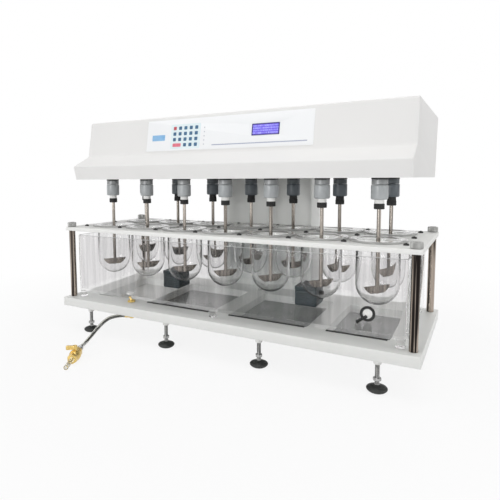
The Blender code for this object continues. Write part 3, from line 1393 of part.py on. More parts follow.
def main():
    """Builds the tester from the bench up."""
    clear_scene()
    build_base_tray()
    build_bath_tank()
    build_circulators()
    build_corner_posts()
    build_vessel_plate()
    build_plate_knobs()
    build_vessels()
    build_column_cover()
    head = add_empty("head_lift_axis", (0, COLUMN_Y, HEAD_Z))
    build_lift_actuator(head)
    build_lift_mast(head)
    build_head_chassis(head)
    build_stirrers(head)
    build_belt_drive(head)
    build_head_cover(head)
    build_head_back_cover(head)
    build_power_inlet(head)
    build_switch_rocker(head)
    build_control_panel(head)
    build_drain_fitting()
    build_drain_hose()
    build_drain_valve()
    build_valve_lever()


main()
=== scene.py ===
"""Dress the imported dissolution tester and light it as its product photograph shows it.

The bath is a clear tank with fourteen glass vessels under a white board, and the head above it holds
the stirrers. Each class below models one sub-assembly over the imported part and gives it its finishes.
"""

from __future__ import annotations

import sys
import logging
import math
from dataclasses import dataclass, replace
from enum import Enum
from typing import Callable, Iterable, Optional, Sequence

import bmesh
import bpy
from mathutils import Matrix, Vector


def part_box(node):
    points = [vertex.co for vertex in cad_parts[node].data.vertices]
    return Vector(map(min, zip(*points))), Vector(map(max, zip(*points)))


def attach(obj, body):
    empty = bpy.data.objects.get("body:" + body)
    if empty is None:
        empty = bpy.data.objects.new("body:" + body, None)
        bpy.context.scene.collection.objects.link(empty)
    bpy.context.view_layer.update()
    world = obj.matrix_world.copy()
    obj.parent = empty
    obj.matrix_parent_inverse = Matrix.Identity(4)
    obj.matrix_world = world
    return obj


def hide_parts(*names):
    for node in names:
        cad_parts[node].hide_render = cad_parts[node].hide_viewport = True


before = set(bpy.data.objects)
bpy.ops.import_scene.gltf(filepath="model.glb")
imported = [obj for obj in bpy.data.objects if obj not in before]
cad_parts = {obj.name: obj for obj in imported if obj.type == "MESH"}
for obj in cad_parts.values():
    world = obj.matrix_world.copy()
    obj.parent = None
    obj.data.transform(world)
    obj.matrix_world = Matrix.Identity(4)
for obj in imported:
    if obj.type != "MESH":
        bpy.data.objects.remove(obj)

LOG = logging.getLogger("dissolution_tester")
ORIGIN = (0.0, 0.0, 0.0)
UP = (0.0, 0.0, 1.0)
WHITE = (1.0, 1.0, 1.0, 1.0)
# How squarely a picked face points the way that it is picked by
SQUARE_ON = 0.9
# How near two corners of a turned piece lie when they are one
WELD = 0.000004

Colour = tuple[float, float, float]
Point = tuple[float, float, float]
Flat = tuple[float, float]
Piece = bpy.types.Object
Test = Callable[[Vector, Vector], bool]


# Modelling by hand

def deselect_all() -> None:
    """Leave edit mode and clear the selection."""
    if bpy.context.mode != "OBJECT":
        bpy.ops.object.mode_set(mode="OBJECT")
    bpy.ops.object.select_all(action="DESELECT")


def take(piece: Piece) -> None:
    """Select one piece alone and make it the active one."""
    deselect_all()
    piece.select_set(True)
    bpy.context.view_layer.objects.active = piece


def edit(piece: Piece, mode: str = "VERT") -> None:
    """Open a piece in edit mode with nothing selected.

    Args:
        piece: The piece to open.
        mode: The select mode, VERT, EDGE or FACE.
    """
    take(piece)
    bpy.ops.object.mode_set(mode="EDIT")
    bpy.ops.mesh.select_mode(type=mode)
    bpy.ops.mesh.select_all(action="DESELECT")


def settle(piece: Piece, matrix: Optional[Matrix] = None) -> Piece:
    """Move a piece by a matrix and write its place into its mesh.

    Args:
        piece: The piece to settle.
        matrix: The turn and shift to give it first, or none.

    Returns:
        The same piece, its object at the origin.
    """
    take(piece)
    if matrix is not None:
        piece.matrix_world = matrix @ piece.matrix_world
    bpy.ops.object.transform_apply(location=True, rotation=True, scale=True)
    return piece


def pick(mode: str, test: Test) -> None:
    """Select the faces or the edges of the open piece that pass a test.

    Args:
        mode: The select mode, FACE or EDGE.
        test: Takes a face's centre and its normal, or the two ends of an edge.
    """
    mesh = bpy.context.edit_object.data
    bpy.ops.mesh.select_mode(type=mode)
    bpy.ops.mesh.select_all(action="DESELECT")
    shape = bmesh.from_edit_mesh(mesh)
    if mode == "FACE":
        for face in shape.faces:
            face.select_set(test(face.calc_center_median(), face.normal))
    else:
        for edge in shape.edges:
            edge.select_set(test(edge.verts[0].co, edge.verts[1].co))
    shape.select_flush_mode()
    bmesh.update_edit_mesh(mesh)


def pick_faces(test: Test) -> None:
    """Select the faces whose centre and normal pass a test."""
    pick("FACE", test)


def pick_edges(test: Test) -> None:
    """Select the edges whose two ends pass a test."""
    pick("EDGE", test)


def pull(step: Sequence[float]) -> None:
    """Extrude what is selected by one step."""
    bpy.ops.mesh.extrude_region_move(TRANSFORM_OT_translate={"value": step})


def face_out() -> None:
    """Turn every face of the open piece outwards."""
    bpy.ops.mesh.select_all(action="SELECT")
    bpy.ops.mesh.normals_make_consistent(inside=False)


def line(name: str, points: Sequence[Point]) -> Piece:
    """Draw a chain of edges by extruding one point after another.

    Args:
        name: The piece's name.
        points: The corners of the line.

    Returns:
        The piece, left open in edit mode with all of it selected.
    """
    deselect_all()
    bpy.ops.mesh.primitive_plane_add(size=0.01, location=points[0])
    piece = bpy.context.object
    piece.name = name
    settle(piece)
    edit(piece)
    bpy.ops.mesh.select_all(action="SELECT")
    bpy.ops.mesh.merge(type="CENTER")
    for before, after in zip(points, points[1:]):
        pull(Vector(after) - Vector(before))
    bpy.ops.mesh.select_all(action="SELECT")
    return piece


def drawn(name: str, outline: Sequence[Flat], low: float, high: float, place: Optional[Matrix] = None) -> Piece:
    """Draw an outline, fill it and raise it into a solid.

    Args:
        name: The piece's name.
        outline: The corners, in the plane of the outline.
        low: Where the solid starts along the plane's normal.
        high: Where it ends.
        place: The frame that the outline lies in, or none for the plan view.

    Returns:
        The solid, in object mode.
    """
    piece = line(name, [(u, v, low) for u, v in outline])
    bpy.ops.mesh.edge_face_add()
    pull((0.0, 0.0, high - low))
    face_out()
    return settle(piece, place)


def turned(name: str, profile: Sequence[Flat], sides: int, place: Optional[Matrix] = None) -> Piece:
    """Draw half a section and spin it about its axis.

    Args:
        name: The piece's name.
        profile: Radius and height of each corner, from the axis round to the axis or back to the start.
        sides: How many steps the turn has.
        place: The frame whose Z the piece is turned about, or none for the upright axis at the origin.

    Returns:
        The turned solid, in object mode.
    """
    piece = line(name, [(radius, 0.0, height) for radius, height in profile])
    bpy.ops.mesh.spin(steps=sides, angle=math.tau, center=ORIGIN, axis=UP)
    bpy.ops.mesh.select_all(action="SELECT")
    bpy.ops.mesh.remove_doubles(threshold=WELD)
    face_out()
    return settle(piece, place)


def slab(name: str, low: Sequence[float], high: Sequence[float]) -> Piece:
    """Add a box between two corners, as the start of a piece.

    Args:
        name: The piece's name.
        low: The lowest corner.
        high: The highest corner.

    Returns:
        The box, in object mode.
    """
    deselect_all()
    centre = (Vector(low) + Vector(high)) / 2
    bpy.ops.mesh.primitive_cube_add(size=1.0, location=centre, scale=Vector(high) - Vector(low))
    piece = bpy.context.object
    piece.name = name
    return settle(piece)


def modified(piece: Piece, kind: str, **settings: object) -> Piece:
    """Add a modifier with its settings and apply it.

    Args:
        piece: The piece that it changes.
        kind: The modifier's type.
        settings: The modifier's own settings.

    Returns:
        The same piece.
    """
    take(piece)
    modifier = piece.modifiers.new(kind.lower(), kind)
    for key, value in settings.items():
        setattr(modifier, key, value)
    bpy.ops.object.modifier_apply(modifier=modifier.name)
    return piece


def soften(piece: Piece, width: float, segments: int = 2, angle: float = 35.0) -> Piece:
    """Round every edge sharper than an angle, by a bevel."""
    limit = math.radians(angle)
    return modified(piece, "BEVEL", width=width, segments=segments, limit_method="ANGLE", angle_limit=limit)


def walled(piece: Piece, thickness: float) -> Piece:
    """Give a skin a wall on its inner side."""
    return modified(piece, "SOLIDIFY", thickness=thickness, offset=-1.0, use_even_offset=True)


def combined(piece: Piece, other: Piece, operation: str) -> Piece:
    """Unite or intersect a solid with another, or cut it by the other, and remove the other."""
    modified(piece, "BOOLEAN", object=other, operation=operation, solver="EXACT")
    bpy.data.objects.remove(other)
    return piece


def cut(piece: Piece, cutter: Piece) -> Piece:
    """Take one solid out of another and remove the cutter."""
    return combined(piece, cutter, "DIFFERENCE")


def smooth(piece: Piece, angle: float = 32.0) -> Piece:
    """Shade a piece smooth, with sharp edges above an angle."""
    take(piece)
    bpy.ops.object.shade_smooth_by_angle(angle=math.radians(angle))
    return piece


def to_axis(points: Sequence[Flat]) -> list[Flat]:
    """Close a profile onto the axis at both ends."""
    return [(0.0, points[0][1]), *points, (0.0, points[-1][1])]


def lathed(
    name: str, points: Sequence[Flat], sides: int, edge: float = 0.0, shade: float = 35.0,
    place: Optional[Matrix] = None, bored: bool = False, segments: int = 2,
) -> Piece:
    """Turn a piece, round its sharp edges and shade it smooth.

    Args:
        name: The piece's name.
        points: Radius and height of each corner, without those on the axis.
        sides: How many steps the turn has.
        edge: The width of the rounds, or zero for none.
        shade: The angle above which an edge looks sharp.
        place: The frame whose Z the piece is turned about, or none.
        bored: Whether the profile closes on itself, and not on the axis.
        segments: How many faces each round has.

    Returns:
        The turned piece.
    """
    piece = turned(name, [*points, points[0]] if bored else to_axis(points), sides, place)
    if edge > 0:
        soften(piece, edge, segments)
    return smooth(piece, shade)


def stepped(piece: Piece, inset: float, rise: float, facing: Sequence[float] = UP) -> Piece:
    """Inset the faces that point one way and raise them.

    Args:
        piece: The piece that they are on.
        inset: The width of the border that stays.
        rise: How far they rise, or sink where it is negative.
        facing: The way that they point, as a unit vector.

    Returns:
        The same piece.
    """
    out = Vector(facing)
    edit(piece, "FACE")
    pick_faces(lambda centre, normal: normal.dot(out) > SQUARE_ON)
    bpy.ops.mesh.inset(thickness=inset, depth=0.0)
    pull(out * rise)
    face_out()
    deselect_all()
    return piece


def tapered(piece: Piece, *rises: float, share: float = 0.9) -> Piece:
    """Draw the flat ends of an upright piece out to smaller ones.

    Args:
        piece: The piece that they are on.
        rises: How far each end is drawn out, the lower one by a negative number.
        share: The size of the new ends as a share of the old.

    Returns:
        The same piece.
    """
    edit(piece, "FACE")
    for rise in rises:
        side = math.copysign(1.0, rise)
        pick_faces(lambda centre, normal: normal.z * side > SQUARE_ON)
        pull((0.0, 0.0, rise))
        bpy.ops.transform.resize(value=(share, share, 1.0), center_override=ORIGIN)
    deselect_all()
    return piece


def opened(piece: Piece, test: Test) -> Piece:
    """Delete the faces of a piece that pass a test, and leave it open in edit mode."""
    edit(piece, "FACE")
    pick_faces(test)
    bpy.ops.mesh.delete(type="FACE")
    return piece


def joined(name: str, pieces: Sequence[Piece]) -> Piece:
    """Join several meshes into one piece."""
    deselect_all()
    for piece in pieces:
        piece.select_set(True)
    bpy.context.view_layer.objects.active = pieces[0]
    if len(pieces) > 1:
        bpy.ops.object.join()
    pieces[0].name = name
    return pieces[0]


def copied(piece: Piece, name: str, matrix: Matrix) -> Piece:
    """Copy a modelled piece with a mesh of its own and put it in place.

    Args:
        piece: The piece to copy.
        name: The copy's name.
        matrix: The turn and shift from the first piece to the copy.

    Returns:
        The copy, its object at the origin.
    """
    twin = piece.copy()
    twin.data = piece.data.copy()
    twin.name = name
    twin.data.name = name
    twin.data.transform(matrix)
    bpy.context.scene.collection.objects.link(twin)
    return twin


def shifted(*distance: float) -> Matrix:
    """Give the matrix of a plain shift."""
    return Matrix.Translation(Vector(distance))


def rounded(points: Sequence[Flat], radii: Sequence[float], steps: int = 6) -> list[Flat]:
    """Round the corners of a closed outline.

    Args:
        points: The sharp corners in order.
        radii: One radius for each corner, zero for a sharp one.
        steps: How many edges each round has.

    Returns:
        The outline with its rounds.
    """
    outline: list[Flat] = []
    for index, (corner, radius) in enumerate(zip(points, radii)):
        here = Vector(corner)
        before = (Vector(points[index - 1]) - here).normalized()
        after = (Vector(points[(index + 1) % len(points)]) - here).normalized()
        if radius <= 0:
            outline.append(corner)
            continue
        half = before.angle(after) / 2
        centre = here + (before + after).normalized() * radius / math.sin(half)
        start = here + before * radius / math.tan(half) - centre
        end = here + after * radius / math.tan(half) - centre
        sweep = start.angle_signed(end)
        for step in range(steps + 1):
            turn = Matrix.Rotation(-sweep * step / steps, 2)
            outline.append(tuple(centre + turn @ start))
    return outline


def plan_outline(
    low: Sequence[float], high: Sequence[float], corner: float = 0.0, steps: int = 5
) -> list[Flat]:
    """Give the plan of a box with four equal rounds.

    Args:
        low: Its lowest corner.
        high: Its highest corner.
        corner: The radius of the rounds, zero for sharp corners.
        steps: How many edges each round has.

    Returns:
        The outline.
    """
    corners = [(low[0], low[1]), (high[0], low[1]), (high[0], high[1]), (low[0], high[1])]
    return rounded(corners, [corner] * len(corners), steps)


def box_outline(
    width: float, height: float, corner: float = 0.0, centre: Flat = (0.0, 0.0), steps: int = 5
) -> list[Flat]:
    """Give a rectangle about a centre, with four equal rounds."""
    u, v = centre
    return plan_outline((u - width / 2, v - height / 2), (u + width / 2, v + height / 2), corner, steps)


def ring_outline(radii: Sequence[float], flutes: int, turn: float = 0.0) -> list[Flat]:
    """Give a ring of corners whose radius runs through the list once for each flute."""
    count = flutes * len(radii)
    corners = [(radii[index % len(radii)], turn + math.tau * index / count) for index in range(count)]
    return [(radius * math.cos(angle), radius * math.sin(angle)) for radius, angle in corners]


def hexagon_nut(
    name: str, radius: float, ends: Flat, blank: Sequence[float], turn: float = 0.0,
    place: Optional[Matrix] = None,
) -> Piece:
    """Draw a hexagon nut and turn its corners off.

    Args:
        name: The piece's name.
        radius: From its middle to a corner.
        ends: Where it starts and ends along its axis.
        blank: The blank's radius at its ends and in its middle, how far it reaches past the nut and how far
            inside the nut its full radius starts.
        turn: The angle of the first corner.
        place: The frame whose Z is its axis, or none.

    Returns:
        The nut.
    """
    low, high = ends
    end, belly, over, rise = blank
    piece = drawn(name, ring_outline([radius], 6, turn), low, high, place)
    corners = [(end, low - over), (belly, low + rise), (belly, high - rise), (end, high + over)]
    combined(piece, turned(name + "_blank", to_axis(corners), 30, place), "INTERSECT")
    return smooth(soften(piece, 0.0003), 20.0)


def framed(
    origin: Sequence[float], across: Sequence[float], upward: Sequence[float], outward: Sequence[float]
) -> Matrix:
    """Give the frame at an origin whose X, Y and Z point in three directions."""
    matrix = Matrix((across, upward, outward)).transposed().to_4x4()
    matrix.translation = Vector(origin)
    return matrix


def aimed_frame(origin: Sequence[float], direction: Sequence[float]) -> Matrix:
    """Give a frame whose Z points along a direction and whose Y is as upright as it can be."""
    along = Vector(direction).normalized()
    across = Vector(UP).cross(along).normalized()
    return framed(origin, across, along.cross(across), along)


def section_frame() -> Matrix:
    """Give the frame of an outline drawn in (Y, Z) that is raised along X."""
    return framed(ORIGIN, (0.0, 1.0, 0.0), UP, (1.0, 0.0, 0.0))


def front_frame() -> Matrix:
    """Give the frame of an outline drawn in (X, Z) that is raised towards the front."""
    return aimed_frame(ORIGIN, (0.0, -1.0, 0.0))


# Effects that several finishes share

class Sketch:
    """Adds the nodes of one tree and joins them."""

    def __init__(self, tree: bpy.types.NodeTree) -> None:
        """Take the tree that the nodes go into."""
        self.tree = tree

    def add(self, kind: str, values: Optional[dict] = None, **settings: object) -> bpy.types.Node:
        """Add one node.

        Args:
            kind: The node's type, without its leading ShaderNode.
            values: A value or another node's output for each input, by name or number.
            settings: The node's own settings.

        Returns:
            The node.
        """
        node = self.tree.nodes.new("ShaderNode" + kind)
        for key, value in settings.items():
            setattr(node, key, value)
        for key, value in (values or {}).items():
            if isinstance(value, bpy.types.NodeSocket):
                self.tree.links.new(value, node.inputs[key])
            else:
                node.inputs[key].default_value = value
        return node

    def mixed(self, factor: object, first: object, second: object) -> bpy.types.NodeSocket:
        """Mix two colours by a factor."""
        node = self.add("Mix", {0: factor, 6: first, 7: second}, data_type="RGBA")
        return node.outputs[2]

    def math(self, operation: str, first: object, second: object = 0.0) -> bpy.types.NodeSocket:
        """Give the result of one sum."""
        return self.add("Math", {0: first, 1: second}, operation=operation).outputs[0]

    def ranged(
        self, value: object, low: float, high: float, start: object = 0.0, end: object = 1.0
    ) -> bpy.types.NodeSocket:
        """Map a value from one range to another, clamped."""
        values = {"Value": value, "From Min": start, "From Max": end, "To Min": low, "To Max": high}
        return self.add("MapRange", values).outputs["Result"]

    def noise(self, where: object, scale: object, detail: object) -> bpy.types.NodeSocket:
        """Give the value of a noise."""
        return self.add("TexNoise", {"Vector": where, "Scale": scale, "Detail": detail}).outputs["Fac"]

    def place(self) -> bpy.types.NodeSocket:
        """Give the Object coordinates."""
        return self.add("TexCoord").outputs["Object"]

    def seen(self) -> bpy.types.NodeSocket:
        """Give one to the camera's rays, also those by way of a mirror or through glass."""
        path = self.add("LightPath").outputs
        direct = self.math("MAXIMUM", path["Is Camera Ray"], path["Is Transmission Ray"])
        return self.math("MAXIMUM", direct, path["Is Glossy Ray"])


def fresh_sketch(owner: bpy.types.ID) -> Sketch:
    """Give a sketch on the emptied node tree of a material or a world."""
    owner.use_nodes = True
    owner.node_tree.nodes.clear()
    return Sketch(owner.node_tree)


class Effect(Enum):
    """The shared effects, each a node group."""

    GRAIN = "surface_grain"
    DRIFT = "tone_drift"
    TOUCH = "touch_marks"


def rgba(colour: Colour) -> tuple[float, float, float, float]:
    """Give a colour with its alpha."""
    return (*colour, 1.0)


def effect_group(effect: Effect) -> bpy.types.NodeTree:
    """Give the node group of an effect, built on its first use.

    Args:
        effect: Which effect.

    Returns:
        The group. Grain puts out a height and a mask, drift a colour, touch a mask.
    """
    known = bpy.data.node_groups.get(effect.value)
    if known is not None:
        return known
    tree = bpy.data.node_groups.new(effect.value, "ShaderNodeTree")
    sockets = {
        Effect.GRAIN: (
            {"Stretch": "Vector", "Scale": "Float", "Detail": "Float"},
            {"Height": "Float", "Mask": "Float"},
        ),
        Effect.DRIFT: (
            {"Colour": "Color", "Other": "Color", "Scale": "Float", "Stretch": "Vector", "Spread": "Float"},
            {"Colour": "Color"},
        ),
        Effect.TOUCH: ({"Scale": "Float", "Cover": "Float"}, {"Mask": "Float"}),
    }[effect]
    for side, named in zip(("INPUT", "OUTPUT"), sockets):
        for name, kind in named.items():
            tree.interface.new_socket(name=name, in_out=side, socket_type="NodeSocket" + kind)
    sketch = Sketch(tree)
    given = tree.nodes.new("NodeGroupInput").outputs
    result = tree.nodes.new("NodeGroupOutput").inputs
    where = sketch.place()
    if "Stretch" in sockets[0]:
        where = sketch.add("VectorMath", {0: where, 1: given["Stretch"]}, operation="MULTIPLY").outputs[0]
    if effect is Effect.GRAIN:
        noise = sketch.noise(where, given["Scale"], given["Detail"])
        tree.links.new(noise, result["Height"])
        tree.links.new(sketch.ranged(noise, 0.0, 1.0, 0.35, 0.65), result["Mask"])
    elif effect is Effect.DRIFT:
        start = sketch.math("SUBTRACT", 0.5, given["Spread"])
        end = sketch.math("ADD", 0.5, given["Spread"])
        factor = sketch.ranged(sketch.noise(where, given["Scale"], 3.0), 0.0, 1.0, start, end)
        tree.links.new(sketch.mixed(factor, given["Colour"], given["Other"]), result["Colour"])
    else:
        low = sketch.math("SUBTRACT", 1.0, given["Cover"])
        raised = sketch.math("SUBTRACT", sketch.noise(where, given["Scale"], 6.0), low)
        tree.links.new(sketch.ranged(raised, 0.0, 1.0, 0.0, 0.2), result["Mask"])
    return tree


def placed_effect(sketch: Sketch, effect: Effect, values: dict) -> bpy.types.Node:
    """Place an effect's group in a tree with its own values."""
    node = sketch.tree.nodes.new("ShaderNodeGroup")
    node.node_tree = effect_group(effect)
    for key, value in values.items():
        node.inputs[key].default_value = value
    return node


# Finishes

@dataclass(frozen=True)
class Finish:
    """A finish with a shifting tone, a fine relief and uneven gloss.

    Attributes:
        name: The material's name.
        slot: The record's slot that it belongs to.
        colour: The main colour, linear.
        other: The colour that it drifts to.
        gloss: The lowest and highest roughness.
        relief: The depth of the relief in metres.
        grain: The scale of the relief.
        stretch: How far the relief is drawn out along each axis.
        drift: The scale of the drift in tone.
        spread: How soft the change from one tone to the other is.
        touch: The share of the surface that is a little duller from handling.
        metal: One for bare metal.
        coat: The weight of a clear coat.
        coat_gloss: The roughness of that coat.
        coat_bend: The coat's index of refraction.
        specular: The strength of a plain surface's reflection.
        glow: The strength of its own light.
    """

    name: str
    slot: str
    colour: Colour
    other: Colour
    gloss: Flat = (0.3, 0.42)
    relief: float = 0.00003
    grain: float = 900.0
    stretch: Point = (1.0, 1.0, 1.0)
    drift: float = 6.0
    spread: float = 0.2
    touch: float = 0.35
    metal: float = 0.0
    coat: float = 0.0
    coat_gloss: float = 0.08
    coat_bend: float = 1.5
    specular: float = 0.5
    glow: float = 0.0

    def tone(self, sketch: Sketch) -> bpy.types.NodeSocket:
        """Give the colour that goes into the shader."""
        values = {
            "Colour": rgba(self.colour), "Other": rgba(self.other), "Scale": self.drift,
            "Stretch": self.stretch, "Spread": self.spread,
        }
        return placed_effect(sketch, Effect.DRIFT, values).outputs["Colour"]

    def shader(self, sketch: Sketch) -> bpy.types.Node:
        """Build the Principled shader with its colour, gloss and relief."""
        grain_values = {"Stretch": self.stretch, "Scale": self.grain, "Detail": 3.0}
        grain = placed_effect(sketch, Effect.GRAIN, grain_values)
        touch = placed_effect(sketch, Effect.TOUCH, {"Scale": self.drift * 4, "Cover": self.touch})
        low, high = self.gloss
        span = (high - low) / 2
        fine = sketch.ranged(grain.outputs["Mask"], low, low + span)
        dulled = sketch.math("MULTIPLY", touch.outputs["Mask"], span)
        bump = sketch.add("Bump", {"Height": grain.outputs["Height"], "Strength": 1.0, "Distance": self.relief})
        tone = self.tone(sketch)
        values = {
            "Base Color": tone, "Roughness": sketch.math("ADD", fine, dulled), "Normal": bump.outputs["Normal"],
            "Metallic": self.metal, "Specular IOR Level": self.specular, "Coat Weight": self.coat,
            "Coat Roughness": self.coat_gloss, "Coat IOR": self.coat_bend,
        }
        if self.glow > 0:
            values |= {"Emission Color": tone, "Emission Strength": self.glow}
        return sketch.add("BsdfPrincipled", values)

    def surface(self, sketch: Sketch) -> bpy.types.NodeSocket:
        """Give the shader's output that goes to the material output."""
        return self.shader(sketch).outputs[0]

    def material(self) -> bpy.types.Material:
        """Give the material, built on its first use."""
        material = bpy.data.materials.get(self.name)
        if material is None:
            material = bpy.data.materials.new(self.name)
            sketch = fresh_sketch(material)
            sketch.add("OutputMaterial", {"Surface": self.surface(sketch)})
        return material

    def like(self, name: str, colour: Colour, other: Colour, **changes: object) -> Finish:
        """Give a finish of another name and colour, and otherwise like this one."""
        return replace(self, name=name, colour=colour, other=other, **changes)


@dataclass(frozen=True)
class ClearFinish(Finish):
    """Clear glass or acrylic that lets the lamps light what stands behind it.

    Attributes:
        bend: The index of refraction.
        rim: Painted shade that it takes where it is seen edge on, for the dark refraction at its edges, or
            none.
        rim_start: How far from square it is seen where that colour starts.
    """

    bend: float = 1.47
    rim: Optional[Colour] = None
    rim_start: float = 0.7

    def tone(self, sketch: Sketch) -> bpy.types.NodeSocket:
        """Give the tint, with painted shade where the wall is seen edge on."""
        plain = super().tone(sketch)
        if self.rim is None:
            return plain
        facing = sketch.add("LayerWeight", {"Blend": 0.5}).outputs["Facing"]
        return sketch.mixed(sketch.ranged(facing, 0.0, 1.0, self.rim_start, 1.0), plain, rgba(self.rim))

    def surface(self, sketch: Sketch) -> bpy.types.NodeSocket:
        """Give glass to every ray but the lamps' own, which pass straight through."""
        shader = self.shader(sketch)
        shader.inputs["Transmission Weight"].default_value = 1.0
        shader.inputs["IOR"].default_value = self.bend
        passing = sketch.add("BsdfTransparent", {"Color": rgba((0.93, 0.94, 0.94))})
        shadow = sketch.add("LightPath").outputs["Is Shadow Ray"]
        return sketch.add("MixShader", {0: shadow, 1: shader.outputs[0], 2: passing.outputs[0]}).outputs[0]


@dataclass(frozen=True)
class DisplayFinish(Finish):
    """The lit display, with bars of lighter cells on its ground.

    Attributes:
        cell: The colour of the lighter cells.
        centre: The middle of the display.
        tilt: How far its face leans back.
        rows: How many rows of cells it has in a metre.
    """

    cell: Colour = (0.55, 0.6, 1.0)
    centre: Point = ORIGIN
    tilt: float = 0.0
    rows: float = 130.0

    def tone(self, sketch: Sketch) -> bpy.types.NodeSocket:
        """Give the ground with its rows of cells."""
        ground = super().tone(sketch)
        turn = {"Vector": sketch.place(), "Location": self.centre, "Rotation": (self.tilt, 0.0, 0.0)}
        cells = {
            "Vector": sketch.add("Mapping", turn, vector_type="TEXTURE").outputs[0], "Scale": self.rows,
            "Color1": WHITE, "Color2": rgba((0.45, 0.45, 0.45)), "Mortar": rgba(ORIGIN),
            "Mortar Size": 0.16, "Brick Width": 0.5, "Row Height": 1.0,
        }
        return sketch.mixed(sketch.add("TexBrick", cells).outputs["Color"], ground, rgba(self.cell))


class Paints:
    """The painted, moulded and printed finishes."""

    WHITE_PAINT = Finish(
        "satin_white_paint", "white_paint", (0.795, 0.79, 0.78), (0.77, 0.765, 0.755),
        gloss=(0.56, 0.7), relief=0.00004, grain=700.0, drift=3.0, specular=0.22,
    )
    WHITE_BOARD = Finish(
        "white_board", "white_board", (0.86, 0.86, 0.85), (0.83, 0.83, 0.82),
        gloss=(0.38, 0.52), relief=0.00003, grain=500.0, drift=4.0,
    )
    TRAY_BOARD = WHITE_BOARD.like("tray_board", (0.765, 0.77, 0.755), (0.735, 0.74, 0.72))
    COLUMN_GREY = Finish(
        "column_paint", "column_grey", (0.75, 0.76, 0.74), (0.7, 0.71, 0.69),
        gloss=(0.34, 0.48), relief=0.00004, grain=700.0, drift=4.0,
    )
    # Painted shade: a dark, mottled floor for three pockets, standing in for the shade seen down in them
    POCKET = Finish(
        "pocket_painted_shade", "white_board", (0.066, 0.074, 0.072), (0.21, 0.212, 0.2),
        gloss=(0.3, 0.5), relief=0.00006, grain=260.0, stretch=(1.0, 0.4, 1.0), drift=16.0,
    )
    PANEL_FILM = Finish(
        "panel_film", "panel_film", (0.83, 0.835, 0.84), (0.81, 0.82, 0.825),
        gloss=(0.36, 0.46), relief=0.00002, grain=1500.0, drift=5.0,
    )
    KEYPAD_FILM = PANEL_FILM.like("keypad_ground", (0.76, 0.85, 0.875), (0.73, 0.835, 0.865), drift=20.0)
    RULE_FILM = PANEL_FILM.like("rule_print", (0.4, 0.42, 0.53), (0.34, 0.36, 0.48), relief=0.00001, drift=20.0)
    INDICATOR = RULE_FILM.like("indicator_print", (0.62, 0.63, 0.67), (0.55, 0.56, 0.6))
    BADGE_FILM = RULE_FILM.like(
        "badge_ground", (0.16, 0.38, 0.66), (0.28, 0.5, 0.74), gloss=(0.3, 0.4), drift=40.0
    )
    KEY_NAVY = PANEL_FILM.like(
        "key_navy", (0.03, 0.1, 0.2), (0.05, 0.16, 0.28), gloss=(0.34, 0.48), drift=60.0
    )
    KEY_RED = KEY_NAVY.like("key_red", (0.5, 0.07, 0.09), (0.42, 0.05, 0.07))
    KEY_PINK = KEY_NAVY.like("key_pink", (0.75, 0.2, 0.26), (0.62, 0.1, 0.16))
    DISPLAY_FRAME = Finish(
        "display_frame", "display", (0.045, 0.035, 0.2), (0.06, 0.05, 0.26),
        gloss=(0.15, 0.3), relief=0.00001, grain=900.0, drift=30.0,
    )
    BLACK_PLASTIC = Finish(
        "black_plastic", "black_plastic", (0.012, 0.013, 0.014), (0.022, 0.022, 0.023),
        gloss=(0.32, 0.5), relief=0.00005, grain=600.0, drift=30.0,
    )
    # Painted shade: a flat black for strips and rings that stand in for shadow lines and dark gaps
    SHADE_BLACK = BLACK_PLASTIC.like("seal_rubber", (0.012, 0.012, 0.012), (0.03, 0.03, 0.028), gloss=(0.5, 0.7))
    RUBBER = Finish(
        "foot_rubber", "black_plastic", (0.012, 0.014, 0.013), (0.03, 0.032, 0.03),
        gloss=(0.5, 0.75), relief=0.00012, grain=420.0, drift=40.0,
    )
    GREY_PLASTIC = Finish(
        "chuck_grey", "grey_plastic", (0.43, 0.45, 0.46), (0.36, 0.38, 0.39),
        gloss=(0.28, 0.42), relief=0.00004, grain=700.0, drift=25.0,
    )
    # Painted shade: a darker copy of the chuck grey for the rear chucks, which stand in the head's shadow
    SHADED_CHUCK_PLASTIC = GREY_PLASTIC.like(
        "chuck_painted_shade", (0.085, 0.1, 0.115), (0.115, 0.135, 0.15), gloss=(0.3, 0.44)
    )
    WHITE_PLASTIC = GREY_PLASTIC.like(
        "neck_white", (0.86, 0.86, 0.85), (0.82, 0.82, 0.8), gloss=(0.2, 0.34), relief=0.00003
    )
    DARK_BOX = Finish(
        "circulator_case", "dark_box", (0.012, 0.02, 0.024), (0.03, 0.045, 0.052),
        gloss=(0.28, 0.5), relief=0.0001, grain=380.0, drift=30.0,
    )
    BELT = Finish(
        "belt_rubber", "belt_rubber", (0.015, 0.015, 0.015), (0.03, 0.03, 0.03),
        gloss=(0.6, 0.8), relief=0.0001, grain=500.0, drift=30.0,
    )
    FLOOR = Finish(
        "studio_floor", "white_paint", (0.84, 0.84, 0.845), (0.82, 0.82, 0.825),
        gloss=(0.7, 0.9), relief=0.00001, grain=60.0, drift=1.0, touch=0.1,
    )


